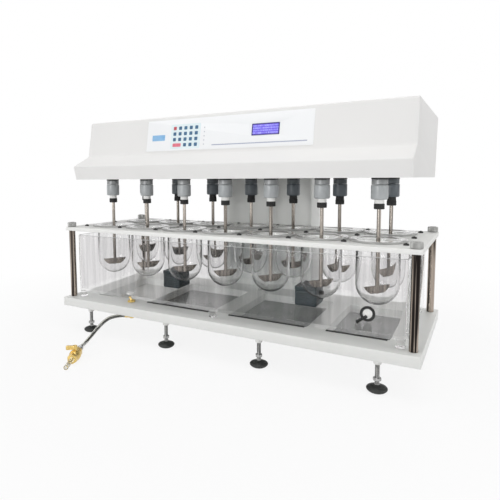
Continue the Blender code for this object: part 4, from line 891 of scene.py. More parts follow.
class Metals:
    """The bare metals."""

    # The drift, drawn out upright, paints dark upright stripes as painted reflections of a dark room
    STEEL = Finish(
        "steel_painted_streaks", "stainless", (0.5, 0.455, 0.41), (0.12, 0.105, 0.092),
        gloss=(0.18, 0.34), relief=0.00002, grain=20.0, stretch=(60.0, 60.0, 1.0), drift=3.6,
        spread=0.15, metal=1.0,
    )
    # Near-black upright stripes on the posts are painted reflections
    POST_STEEL = STEEL.like(
        "post_steel", (0.4, 0.34, 0.29), (0.018, 0.015, 0.014), gloss=(0.16, 0.32), drift=2.4, spread=0.05
    )
    ZINC = Finish(
        "zinc_stud", "stainless", (0.5, 0.5, 0.49), (0.3, 0.3, 0.3),
        gloss=(0.25, 0.42), relief=0.00003, grain=500.0, drift=60.0, metal=1.0,
    )
    KNOB = Finish(
        "knurled_nut", "grey_plastic", (0.44, 0.44, 0.43), (0.33, 0.33, 0.32),
        gloss=(0.3, 0.45), relief=0.00004, grain=600.0, drift=60.0, metal=0.8,
    )
    BRASS = Finish(
        "brass", "brass", (0.7, 0.49, 0.17), (0.42, 0.27, 0.08),
        gloss=(0.16, 0.34), relief=0.00003, grain=420.0, drift=45.0, metal=1.0,
    )
    CAST = Finish(
        "cast_alloy", "cast_alloy", (0.42, 0.42, 0.42), (0.3, 0.3, 0.3),
        gloss=(0.4, 0.6), relief=0.0001, grain=350.0, drift=20.0, metal=0.9,
    )
    HOUSING = Finish(
        "bearing_housing", "cast_alloy", (0.34, 0.35, 0.355), (0.27, 0.28, 0.285),
        gloss=(0.35, 0.5), relief=0.00005, grain=500.0, drift=30.0, metal=0.3,
    )
    # Painted shade: a darker copy of the housing for the rear row, which stands in the head's shadow
    SHADED_HOUSING = HOUSING.like("dark_housing", (0.08, 0.092, 0.1), (0.11, 0.125, 0.135))


class Clears:
    """The see-through finishes."""

    # The drift, drawn out upright, paints grey streaks in the walls as painted reflections of the vessels
    ACRYLIC = ClearFinish(
        "clear_acrylic", "clear_plastic", (0.95, 0.943, 0.945), (0.76, 0.755, 0.758),
        gloss=(0.0, 0.02), relief=0.000004, grain=14.0, stretch=(1.0, 1.0, 0.04), drift=80.0,
        spread=0.18, touch=0.2, bend=1.15,
    )
    FLOOR_SHEET = ClearFinish(
        "clear_floor_sheet", "clear_plastic", (0.95, 0.95, 0.945), (0.9, 0.9, 0.895),
        gloss=(0.0, 0.02), relief=0.000002, grain=14.0, drift=5.0, touch=0.2,
        coat=0.42, coat_gloss=0.015, coat_bend=1.7, bend=1.0,
    )
    # The flange's ground edge, painted dark grey as painted shade for the dark refraction outline of the rim
    GROUND_RIM_SHADE = Finish(
        "ground_glass_rim_shaded", "glass", (0.3, 0.3, 0.295), (0.48, 0.48, 0.47),
        gloss=(0.3, 0.5), relief=0.00005, grain=900.0, drift=20.0,
    )
    SAWN_EDGE = Finish(
        "sawn_acrylic_edge", "clear_plastic", (0.84, 0.85, 0.85), (0.76, 0.77, 0.77),
        gloss=(0.4, 0.6), relief=0.00004, grain=800.0, drift=40.0,
    )
    # The drift, drawn out upright, paints faint streaks as painted reflections, and rim paints dark edges as
    # painted shade
    GLASS = ClearFinish(
        "vessel_glass", "glass", (0.995, 0.995, 0.995), (0.93, 0.93, 0.93),
        gloss=(0.0, 0.02), relief=0.000004, grain=30.0, stretch=(1.0, 1.0, 0.12), drift=60.0, touch=0.2,
        bend=1.27, rim=(0.03, 0.03, 0.03), rim_start=0.68,
    )
    HOSE = ClearFinish(
        "clear_hose", "hose_plastic", (0.8, 0.8, 0.76), (0.74, 0.74, 0.7),
        gloss=(0.04, 0.1), relief=0.000004, grain=60.0, drift=12.0, bend=1.45,
    )


def mount(piece: Piece, finish: Finish, body: str, *nodes: str) -> Piece:
    """Mount a dressed piece on its body and report it.

    Args:
        piece: The finished piece, with its materials.
        finish: The finish of most of it, which names its slot.
        body: The body that it rides on.
        nodes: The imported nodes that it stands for.

    Returns:
        The same piece.
    """
    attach(piece, body)
    if nodes:
        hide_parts(*nodes)
    LOG.info("%s in %s on %s, %d faces", piece.name, finish.name, body, len(piece.data.polygons))
    return piece


def deliver(piece: Piece, finish: Finish, body: str, *nodes: str) -> Piece:
    """Dress a finished piece in one finish and mount it on its body.

    Args:
        piece: The finished piece.
        finish: What it is finished in.
        body: The body that it rides on.
        nodes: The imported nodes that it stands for.

    Returns:
        The same piece.
    """
    piece.data.materials.clear()
    piece.data.materials.append(finish.material())
    return mount(piece, finish, body, *nodes)


def spread(model: Piece, finish: Finish, body: str, places: Sequence[tuple[str, Point]]) -> None:
    """Deliver a copy of a model at each place and remove the model.

    Args:
        model: The piece to copy, at the origin.
        finish: What the copies are finished in.
        body: The body that they ride on.
        places: The end of each copy's name, and where it goes.
    """
    for tag, place in places:
        deliver(copied(model, f"{model.name}_{tag}", shifted(*place)), finish, body)
    bpy.data.objects.remove(model)


def numbered(places: Iterable[Point]) -> list[tuple[str, Point]]:
    """Give each place its number, from 1 on."""
    return [(str(number), place) for number, place in enumerate(places, 1)]


def parted(piece: Piece, finish: Finish, *others: tuple[Finish, Test]) -> Piece:
    """Dress a piece in one finish and some of its faces in others.

    Args:
        piece: The piece, still without materials.
        finish: What most of it is finished in.
        others: Each other finish, with the test that its faces pass.

    Returns:
        The same piece.
    """
    for dress in (finish, *(other for other, _ in others)):
        piece.data.materials.append(dress.material())
    edit(piece, "FACE")
    for index, (_, test) in enumerate(others, 1):
        piece.active_material_index = index
        pick_faces(test)
        bpy.ops.object.material_slot_assign()
    deselect_all()
    return piece


def redress(node: str, finish: Finish) -> None:
    """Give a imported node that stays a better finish."""
    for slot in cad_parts[node].material_slots:
        slot.material = finish.material()
    LOG.info("%s stays, in %s", node, finish.name)


@dataclass
class Stations:
    """The fourteen stirring stations in two rows."""

    pitch: float = 0.145
    in_row: int = 7
    front_y: float = -0.174
    rear_y: float = 0.001

    def start(self) -> float:
        """Give the X of the first station of a row."""
        return -self.pitch * (self.in_row - 1) / 2

    def places(self) -> list[tuple[str, float, float]]:
        """Give the name, X and Y of each station, such as front_1."""
        rows = (("front", self.front_y), ("rear", self.rear_y))
        return [
            (f"{row}_{index + 1}", self.start() + self.pitch * index, y)
            for row, y in rows for index in range(self.in_row)
        ]

    def between(self) -> list[float]:
        """Give the X midway between neighbours, and as far past both ends."""
        return [self.start() + self.pitch * (index - 0.5) for index in range(self.in_row + 1)]

    def middle_y(self) -> float:
        """Give the Y midway between the two rows."""
        return (self.front_y + self.rear_y) / 2


STATIONS = Stations()


@dataclass
class Studio:
    """The camera, the lamps, the floor and the background."""

    camera_at: Point = (0.6597, -1.3715, 0.5022)
    yaw: float = 29.827
    pitch: float = -5.257
    roll: float = -0.368
    lens: float = 33.49
    sensor: float = 36.0
    shift: Flat = (0.0649, -0.0571)
    sight: float = 60.0
    floor_reach: float = 9.0
    fade: Flat = (0.75, 1.5)
    near_white: float = 0.86
    fill: float = 0.5
    bounces: int = 32

    def camera(self) -> None:
        """Set the camera where the photograph was taken from."""
        yaw, pitch, roll = (math.radians(angle) for angle in (self.yaw, self.pitch, self.roll))
        forward = Vector((-math.sin(yaw) * math.cos(pitch), math.cos(yaw) * math.cos(pitch), math.sin(pitch)))
        right = forward.cross(Vector(UP)).normalized()
        up = right.cross(forward)
        leaned_right = right * math.cos(roll) + up * math.sin(roll)
        leaned_up = up * math.cos(roll) - right * math.sin(roll)
        data = bpy.data.cameras.new("camera")
        data.lens = self.lens
        data.sensor_width = self.sensor
        data.shift_x, data.shift_y = self.shift
        data.clip_end = self.sight
        camera = bpy.data.objects.new("camera", data)
        camera.matrix_world = framed(self.camera_at, leaned_right, leaned_up, -forward)
        bpy.context.scene.collection.objects.link(camera)
        bpy.context.scene.camera = camera

    def lamp(
        self, name: str, place: Point, target: Point, size: Flat, power: float, shine: bool = True
    ) -> None:
        """Hang one soft lamp.

        Args:
            name: The lamp's name.
            place: Where it hangs.
            target: What it faces.
            size: Its width and height.
            power: Its power in watts.
            shine: Whether glossy and clear surfaces mirror it.
        """
        data = bpy.data.lights.new(name, "AREA")
        data.shape = "RECTANGLE"
        data.size, data.size_y = size
        data.energy = power
        lamp = bpy.data.objects.new(name, data)
        lamp.matrix_world = aimed_frame(place, Vector(place) - Vector(target))
        lamp.visible_glossy = shine
        lamp.visible_transmission = shine
        bpy.context.scene.collection.objects.link(lamp)

    def lamps(self) -> None:
        """Light the front from low on the left, the top from above, and the right end and the back softly."""
        self.lamp("key_lamp", (-0.8, -4.2, 0.95), (0.0, 0.0, 0.35), (1.6, 1.0), 50.0)
        self.lamp("top_lamp", (0.2, -0.4, 3.4), (0.0, 0.0, 0.3), (3.2, 2.4), 40.0)
        self.lamp("side_lamp", (4.0, -0.6, 1.6), (0.2, 0.0, 0.35), (2.0, 2.0), 30.0)
        self.lamp("back_lamp", (0.6, 4.2, 1.5), (0.0, 0.1, 0.4), (3.0, 1.6), 36.0, shine=False)

    def background(self) -> None:
        """Show white behind the object, and light it softly from all round."""
        world = bpy.data.worlds.new("studio_world")
        bpy.context.scene.world = world
        sketch = fresh_sketch(world)
        strength = sketch.ranged(sketch.seen(), self.fill, 1.0)
        back = sketch.add("Background", {"Color": WHITE, "Strength": strength})
        sketch.add("OutputWorld", {"Surface": back.outputs[0]})

    def floor(self) -> None:
        """Lay the pale floor, which keeps the shadow near the object and goes white far away."""
        deselect_all()
        bpy.ops.mesh.primitive_plane_add(size=2 * self.floor_reach, location=ORIGIN)
        floor = bpy.context.object
        floor.name = "floor"
        settle(floor)
        edit(floor, "FACE")
        bpy.ops.mesh.select_all(action="SELECT")
        bpy.ops.mesh.subdivide(number_cuts=5)
        deselect_all()
        material = bpy.data.materials.new("studio_floor")
        sketch = fresh_sketch(material)
        shader = Paints.FLOOR.shader(sketch)
        glow = sketch.add("Emission", {"Color": WHITE, "Strength": 1.0})
        reach = sketch.add("VectorMath", {0: sketch.place()}, operation="LENGTH").outputs["Value"]
        white = sketch.ranged(reach, self.near_white, 1.0, *self.fade)
        shown = sketch.math("MULTIPLY", sketch.seen(), white)
        mixed = sketch.add("MixShader", {0: shown, 1: shader.outputs[0], 2: glow.outputs[0]})
        sketch.add("OutputMaterial", {"Surface": mixed.outputs[0]})
        floor.data.materials.append(material)

    def look(self) -> None:
        """Set the view and let rays through the many walls of the glass."""
        scene = bpy.context.scene
        scene.view_settings.view_transform = "Standard"
        scene.cycles.max_bounces = self.bounces
        scene.cycles.transmission_bounces = self.bounces
        scene.cycles.transparent_max_bounces = self.bounces
        scene.cycles.glossy_bounces = 24
        scene.cycles.diffuse_bounces = 4

    def build(self) -> None:
        """Set up the whole studio."""
        self.camera()
        self.lamps()
        self.background()
        self.floor()
        self.look()


@dataclass
class DrainLine:
    """The clear hose from the bath's elbow to the brass valve that lies in front of the stand."""

    radius: float = 0.006
    wall: float = 0.0015
    length: float = 0.23
    inlet: Point = (-0.3396, -0.4335, 0.0162)
    heading: Point = (0.524, -0.852, 0.0)
    route: Sequence[Point] = (
        (-0.32792, -0.25227, 0.066), (-0.33756, -0.25942, 0.066), (-0.34393, -0.26401, 0.06497),
        (-0.35036, -0.26855, 0.06406), (-0.35671, -0.27316, 0.063), (-0.36281, -0.27796, 0.06144),
        (-0.36835, -0.28298, 0.05885), (-0.37313, -0.2881, 0.05518), (-0.37681, -0.29368, 0.05094),
        (-0.37954, -0.29973, 0.04663), (-0.38145, -0.30594, 0.04211), (-0.38277, -0.31234, 0.03764),
        (-0.38359, -0.31898, 0.0334), (-0.38392, -0.32577, 0.02934), (-0.3838, -0.33266, 0.02543),
        (-0.38328, -0.33969, 0.02181), (-0.38237, -0.34689, 0.01865), (-0.38106, -0.35422, 0.01597),
        (-0.37939, -0.36162, 0.01369), (-0.37735, -0.36904, 0.01182), (-0.37484, -0.37642, 0.01044),
        (-0.37162, -0.38362, 0.00984), (-0.36775, -0.39053, 0.01007), (-0.36359, -0.39723, 0.01078),
        (-0.35938, -0.40386, 0.01176), (-0.35497, -0.4103, 0.01315), (-0.3505, -0.41665, 0.0147),
        (-0.34604, -0.42302, 0.0162), (-0.33976, -0.43324, 0.0162),
    )
    # The black core in the bore is painted shade for the hose's dark edge
    shade_core_radius: float = 0.0034
    shade_core_offset: Point = (0.0007, 0.0, -0.0009)
    sleeve: float = 0.026
    crimp: float = 0.0085
    crimps: int = 5
    nut: float = 0.014
    nut_radius: float = 0.0138
    nut_blank: Sequence[float] = (0.0122, 0.0145, 0.001, 0.0022)
    body: float = 0.034
    spout: float = 0.056
    across: Point = (-0.852, -0.524, 0.0)

    def swept(self, name: str, radius: float, offset: Point, capped: bool) -> Piece:
        """Sweep a round section along the hose's route.

        Args:
            name: The piece's name.
            radius: The section's radius.
            offset: How far the sweep lies from the route.
            capped: Whether its ends are closed.

        Returns:
            The swept piece.
        """
        deselect_all()
        curve = bpy.data.curves.new(name, "CURVE")
        curve.dimensions = "3D"
        curve.bevel_depth = radius
        curve.bevel_resolution = 6
        curve.use_fill_caps = capped
        spline = curve.splines.new("POLY")
        spline.points.add(len(self.route) - 1)
        for target, point in zip(spline.points, self.route):
            target.co = (*(Vector(point) + Vector(offset)), 1.0)
        piece = bpy.data.objects.new(name, curve)
        bpy.context.scene.collection.objects.link(piece)
        take(piece)
        bpy.ops.object.convert(target="MESH")
        piece = bpy.context.object
        piece.name = name
        return piece

    def hose(self) -> Piece:
        """Sweep the hose along its route and give it its wall."""
        return smooth(walled(self.swept("clear_hose", self.radius, ORIGIN, False), self.wall), 60.0)

    def painted_shade_core(self) -> Piece:
        """Sweep a dark core low in the hose's bore, painted shade that stands for the hose's dark refracted
        edge.
        """
        return smooth(self.swept("painted_shade_core", self.shade_core_radius, self.shade_core_offset, True), 60.0)

    def axis(self, distance: float) -> Vector:
        """Give a point on the valve's axis."""
        return Vector(self.inlet) + Vector(self.heading).normalized() * distance

    def pivot(self) -> Vector:
        """Give the middle of the valve's body, where the lever turns."""
        return self.axis(self.sleeve + self.nut + self.body / 2)

    def along(self, distance: float = 0.0) -> Matrix:
        """Give a frame on the valve's axis, with its Z along it."""
        return aimed_frame(self.axis(distance), self.heading)

    def ferrule(self) -> Piece:
        """Turn the crimped sleeve that holds the hose on the valve."""
        pitch = self.sleeve / (self.crimps + 1)
        profile = [(self.crimp, 0.0)]
        for index in range(self.crimps):
            start = pitch * (index + 0.5)
            profile += [(self.crimp, start), (0.0072, start + pitch * 0.3), (self.crimp, start + pitch * 0.6)]
        return lathed("hose_ferrule", [*profile, (self.crimp, self.sleeve)], 28, 0.0004, 32.0, self.along())

    def valve_nut(self, name: str, start: float) -> Piece:
        """Draw one of the valve's two hexagon nuts."""
        ends = (0.0, self.nut)
        return hexagon_nut(name, self.nut_radius, ends, self.nut_blank, math.pi / 6, self.along(start))

    def valve_body(self) -> Piece:
        """Turn the valve's round body with its shoulders."""
        swell = (
            (0.0122, 0.0), (0.0128, 0.1), (0.0155, 0.28), (0.0158, 0.45), (0.0155, 0.7), (0.0128, 0.9),
            (0.0112, 1.0),
        )
        profile = [(radius, self.sleeve + self.nut + self.body * share) for radius, share in swell]
        return lathed("valve_body", profile, 36, 0.0008, 40.0, self.along(), segments=3)

    def stem(self) -> Piece:
        """Turn the stem that the lever sits on."""
        profile = [(0.0065, 0.008), (0.0065, 0.0172), (0.004, 0.0176), (0.004, 0.0235)]
        return lathed("valve_stem", profile, 24, 0.0003, 32.0, shifted(*self.pivot()))

    def tail(self) -> Piece:
        """Turn the clear outlet tube that is pushed on the valve's end."""
        start = self.sleeve + self.nut * 2 + self.body
        profile = [
            (0.0041, start), (0.006, start), (0.0063, start + 0.002), (0.006, start + 0.004),
            (0.006, start + self.spout), (0.0042, start + self.spout),
        ]
        return lathed("outlet_tube", profile, 32, 0.0, 40.0, self.along(), bored=True)

    def lever(self) -> Piece:
        """Draw the flat lever with its hub and its widened tip."""
        low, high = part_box("valve_lever")
        pivot = self.pivot()
        across = Vector(self.across).normalized()
        place = framed((pivot.x, pivot.y, low.z), across, Vector(UP).cross(across), UP)
        thick = high.z - low.z
        side = [(0.024, 0.0066), (0.008, 0.0045), (-0.0065, 0.006)]
        corners = [(u, -v) for u, v in reversed(side)] + side
        outline = rounded(corners, [0.004, 0.004, 0.005, 0.005, 0.004, 0.004], 5)
        blade = drawn("valve_handle", outline, 0.0006, thick - 0.0006, place)
        rim = [(0.0072, 0.0), (0.0072, thick), (0.0045, thick), (0.0045, thick - 0.001)]
        hub = turned("valve_hub", to_axis(rim), 28, shifted(pivot.x, pivot.y, low.z))
        soften(blade, 0.0005)
        soften(hub, 0.0004)
        return smooth(joined("valve_handle", [blade, hub]))

    def build(self) -> None:
        """Model and mount the hose with all that hangs on it."""
        hose = deliver(self.hose(), Clears.HOSE, "stand", "drain_hose")
        shade_core = deliver(self.painted_shade_core(), Paints.SHADE_BLACK, "stand")
        ferrule = deliver(self.ferrule(), Metals.ZINC, "stand")
        body = deliver(self.valve_body(), Metals.BRASS, "stand", "drain_valve")
        brass = [
            self.valve_nut("inlet_nut", self.sleeve),
            self.valve_nut("outlet_nut", self.sleeve + self.nut + self.body),
            self.stem(),
        ]
        for piece in brass:
            deliver(piece, Metals.BRASS, "stand")
        tail = deliver(self.tail(), Clears.HOSE, "stand")
        lever = deliver(self.lever(), Metals.BRASS, "valve_lever", "valve_lever")


@dataclass
class BaseTray:
    """The white tray with its four pockets and the levelling feet."""

    bottom: float = 0.082
    seat_half: float = 0.2
    seat_front: float = 0.13
    corner: float = 0.003
    edge: float = 0.002
    pocket_depth: float = 0.022
    pocket_front: float = -0.2165
    pocket_back: float = 0.0435
    pocket_corner: float = 0.004
    pockets: Sequence[Flat] = ((-0.475, -0.315), (-0.265, -0.03), (0.03, 0.265), (0.315, 0.475))
    shadow_strip_end: float = 0.004
    foot_x: Sequence[float] = (-0.458, -0.1527, 0.1527, 0.458)
    foot_y: Sequence[float] = (-0.269, 0.101)
    stud_low: float = 0.0212
    stud_high: float = 0.0725
    thread: float = 0.0016
    nut_ends: Flat = (0.027, 0.034)
    nut_blank: Sequence[float] = (0.0085, 0.0102, 0.0005, 0.0015)

    def tray(self) -> Piece:
        """Draw the tray with the seat of the column, sink its pockets and paint the floors of three of them
        dark as painted shade.
        """
        low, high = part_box("base_tray")
        outline = [
            (low.x, low.y), (high.x, low.y), (high.x, self.seat_front), (self.seat_half, self.seat_front),
            (self.seat_half, high.y), (-self.seat_half, high.y), (-self.seat_half, self.seat_front),
            (low.x, self.seat_front),
        ]
        radii = [0.0 if index in (3, 6) else self.corner for index in range(len(outline))]
        piece = drawn("tray", rounded(outline, radii, 3), self.bottom, high.z)
        soften(piece, self.edge, 3, 60.0)
        floor = high.z - self.pocket_depth
        for number, (start, end) in enumerate(self.pockets):
            corners = plan_outline((start, self.pocket_front), (end, self.pocket_back), self.pocket_corner, 3)
            cut(piece, drawn(f"pocket_{number}", corners, floor, high.z + 0.01))
        open_from = self.pockets[0][1]
        return parted(smooth(piece, 30.0), Paints.TRAY_BOARD, (
            Paints.POCKET,
            lambda at, normal: abs(at.z - floor) < 0.0005 and normal.z > SQUARE_ON and at.x > open_from,
        ))

    def shadow_strips(self) -> None:
        """Lay a dark strip along the front edge of the three open pockets, a painted shadow for the dark gap
        under the tank's front edge.
        """
        _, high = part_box("base_tray")
        for number, (start, end) in enumerate(self.pockets[1:], 1):
            low = (start + self.shadow_strip_end, self.pocket_front - 0.0065, high.z - 0.0006)
            top = (end - self.shadow_strip_end, self.pocket_front - 0.0005, high.z + 0.0025)
            deliver(smooth(soften(slab(f"pocket_seal_{number}", low, top), 0.0005), 30.0), Paints.SHADE_BLACK, "stand")

    def foot_pad(self) -> Piece:
        """Turn one domed rubber pad."""
        profile = [
            (0.017, 0.0), (0.0205, 0.002), (0.0238, 0.0052), (0.0246, 0.0072), (0.0244, 0.0092),
            (0.0222, 0.0116), (0.0155, 0.0144), (0.0088, 0.0166), (0.0078, 0.0182),
        ]
        return lathed("foot_pad", profile, 40, 0.0005, 40.0)

    def foot_stud(self) -> Piece:
        """Turn one threaded stud."""
        height = self.stud_low
        profile = [(0.0066, 0.0165), (0.0066, 0.0205), (0.0055, height)]
        while height < self.stud_high:
            profile += [(0.0048, height + self.thread / 2), (0.0055, height + self.thread)]
            height += self.thread
        return lathed("foot_stud", profile, 20, shade=50.0)

    def foot_boss(self) -> Piece:
        """Turn one tapered white boss under the tray."""
        profile = [(0.0078, 0.0665), (0.0088, 0.0675), (0.0112, 0.0812), (0.012, 0.0822)]
        return lathed("foot_boss", profile, 36, 0.0004)

    def build(self) -> None:
        """Model the tray and set eight feet under it."""
        mount(self.tray(), Paints.TRAY_BOARD, "stand", "base_tray")
        self.shadow_strips()
        kinds = (
            (self.foot_pad(), Paints.RUBBER), (self.foot_stud(), Metals.ZINC),
            (hexagon_nut("foot_nut", 0.0098, self.nut_ends, self.nut_blank), Metals.ZINC),
            (self.foot_boss(), Paints.WHITE_BOARD),
        )
        places = [
            (f"{row}_{column}", (x, y, 0.0))
            for row, y in enumerate(self.foot_y, 1) for column, x in enumerate(self.foot_x, 1)
        ]
        for model, finish in kinds:
            spread(model, finish, "stand", places)


@dataclass
class Bath:
    """The clear tank with its legs, circulators and drain."""

    wall: float = 0.006
    floor: float = 0.008
    corner: float = 0.022
    base_z: float = 0.129
    leg_x: Sequence[float] = (-0.505, 0.0, 0.505)
    leg_y: float = 0.166
    circulator_left: float = -0.236
    circulator_right: float = 0.23
    circulator_half: float = 0.032
    circulator_step: float = 0.008
    circulator_seam: float = 0.043
    slots: int = 5
    port_at: Flat = (0.4138, -0.1776)
    port_radius: float = 0.019
    port_facing: Point = (0.35, -1.0, 0.45)
    drain_at: Flat = (-0.310, -0.239)
    elbow_z: float = 0.066

    def tank(self) -> Piece:
        """Draw the tank's outline, raise it and sink its inside."""
        low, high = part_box("bath_tank")
        piece = drawn("tank", plan_outline(low, high, self.corner, 10), self.base_z, high.z)
        floor_top = self.base_z + self.floor
        stepped(piece, self.wall, floor_top - high.z)
        return parted(
            smooth(soften(piece, 0.0012, 3, 60.0), 30.0), Clears.ACRYLIC,
            (Clears.SAWN_EDGE, lambda at, normal: at.z > high.z - 0.0004 and normal.z > 0.5),
            (Clears.FLOOR_SHEET, lambda at, normal: at.z < floor_top + 0.0015),
        )

    def leg(self) -> Piece:
        """Turn one clear leg with its foot ring."""
        profile = [
            (0.011, 0.1103), (0.011, 0.1125), (0.0092, 0.1138), (0.0088, 0.124), (0.0108, 0.1262),
            (0.0108, 0.1289),
        ]
        return lathed("tank_leg", profile, 32, 0.0005, 40.0)

    def circulator(self, side: str, x: float, outward: float) -> None:
        """Model one dark circulator with its lid, seam, intake slots and outlet.

        Args:
            side: The side that it stands on, left or right.
            x: Where its middle is.
            outward: The way to the near end of the tank, as 1 or -1.
        """
        node = f"circulator_{side}"
        low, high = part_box(node)
        low.y -= self.circulator_step
        left, right = x - self.circulator_half, x + self.circulator_half
        seam = low.z + self.circulator_seam
        body = soften(slab(f"{node}_case", (left, low.y, low.z), (right, high.y, seam - 0.0006)), 0.004, 4)
        for number in range(self.slots):
            slot = box_outline(0.04, 0.0022, centre=(x, low.z + 0.009 + number * 0.006))
            cut(body, drawn("groove", slot, -low.y - 0.0018, -low.y + 0.004, front_frame()))
        deliver(smooth(body, 30.0), Paints.DARK_BOX, "stand", node)
        lid = stepped(slab(f"{node}_lid", (left, low.y, seam), (right, high.y, high.z)), 0.007, -0.0012)
        deliver(smooth(soften(lid, 0.0018, 3), 30.0), Paints.DARK_BOX, "stand")
        middle = (low + high) / 2
        profile = [
            (0.0075, 0.0), (0.011, 0.0), (0.011, 0.0015), (0.0095, 0.002), (0.0095, 0.0085), (0.0105, 0.0095),
            (0.0105, 0.0105), (0.0075, 0.0105),
        ]
        mouth = (x + outward * (self.circulator_half - 0.0005), middle.y, middle.z)
        place = aimed_frame(mouth, (outward, 0.0, 0.0))
        port = lathed(f"{node}_port", profile, 32, 0.0003, place=place, bored=True)
        deliver(port, Paints.BLACK_PLASTIC, "stand")

    def ring_port(self) -> None:
        """Model the upright black port ring on the floor at the right, its bright bore and its short stem."""
        outer = self.port_radius
        centre = Vector((*self.port_at, self.base_z + self.floor + outer))
        place = aimed_frame(centre, self.port_facing)
        ring = [
            (outer - 0.006, -0.004), (outer - 0.0015, -0.004), (outer, -0.0025), (outer, 0.0025),
            (outer - 0.0015, 0.004), (outer - 0.006, 0.004), (outer - 0.007, 0.0),
        ]
        deliver(lathed("port_ring", ring, 40, 0.0006, place=place, bored=True), Paints.BLACK_PLASTIC, "stand")
        bore = outer - 0.0072
        lining = [(0.0, -0.003), (bore, -0.003), (bore, 0.0005), (bore - 0.0025, -0.001), (0.0, -0.0018)]
        bright = smooth(soften(turned("port_lining", lining, 40, place), 0.0003), 35.0)
        deliver(bright, Paints.WHITE_PLASTIC, "stand")
        stem = [(0.0034, 0.0), (0.0038, 0.0005), (0.0038, 0.026), (0.0044, 0.0265), (0.0044, 0.031)]
        leaning = aimed_frame(centre + Vector((0.0, -0.006, -0.004)), (-0.75, -0.35, -0.5))
        deliver(lathed("port_stem", stem, 24, 0.0003, place=leaning), Paints.BLACK_PLASTIC, "stand")

    def drain(self) -> Piece:
        """Turn the brass bulkhead fitting and its elbow under the tray."""
        x, y = self.drain_at
        upright = shifted(x, y, 0.0)
        profile = [
            (0.0, 0.057), (0.006, 0.0572), (0.009, 0.061), (0.009, 0.081), (0.0078, 0.0817), (0.0078, 0.1166),
            (0.0056, 0.1172), (0.0056, 0.1286), (0.0042, 0.1286), (0.0042, 0.07), (0.0, 0.07),
        ]
        stem = soften(turned("drain_stem", profile, 36, upright), 0.0004)
        nut = drawn("drain_nut", ring_outline([0.0132], 6), 0.1104, 0.1162)
        cut(nut, drawn("nut_bore", ring_outline([0.0075], 24), 0.1, 0.13))
        soften(settle(nut, upright), 0.0008)
        start_x, start_y, _ = DrainLine.route[0]
        barbs = [
            (0.0076, 0.0), (0.0076, 0.009), (0.0066, 0.0105), (0.0072, 0.013), (0.0064, 0.0145),
            (0.0072, 0.017), (0.0064, 0.0185), (0.007, 0.021), (0.0062, 0.0218),
        ]
        towards = aimed_frame((x, y, self.elbow_z), (start_x - x, start_y - y, 0.0))
        arm = soften(turned("drain_arm", to_axis(barbs), 32, towards), 0.0003)
        return smooth(joined("drain_bulkhead", [stem, nut, arm]), 35.0)

    def strainer(self) -> Piece:
        """Turn the white strainer cap that covers the drain inside the tank."""
        floor = self.base_z + self.floor
        profile = [
            (0.013, floor + 0.0004), (0.013, floor + 0.0024), (0.0118, floor + 0.0036), (0.005, floor + 0.0042),
        ]
        return lathed("drain_strainer", profile, 36, 0.0003, place=shifted(*self.drain_at, 0.0))

    def build(self) -> None:
        """Model the tank and what stands in it and under it."""
        mount(self.tank(), Clears.ACRYLIC, "stand", "bath_tank")
        middle = STATIONS.middle_y()
        rows = (middle - self.leg_y, middle + self.leg_y)
        spread(self.leg(), Clears.ACRYLIC, "stand", numbered((x, y, 0.0) for x in self.leg_x for y in rows))
        self.circulator("left", self.circulator_left, -1.0)
        self.circulator("right", self.circulator_right, 1.0)
        self.ring_port()
        deliver(self.drain(), Metals.BRASS, "stand", "drain_fitting")
        deliver(self.strainer(), Paints.WHITE_PLASTIC, "stand")


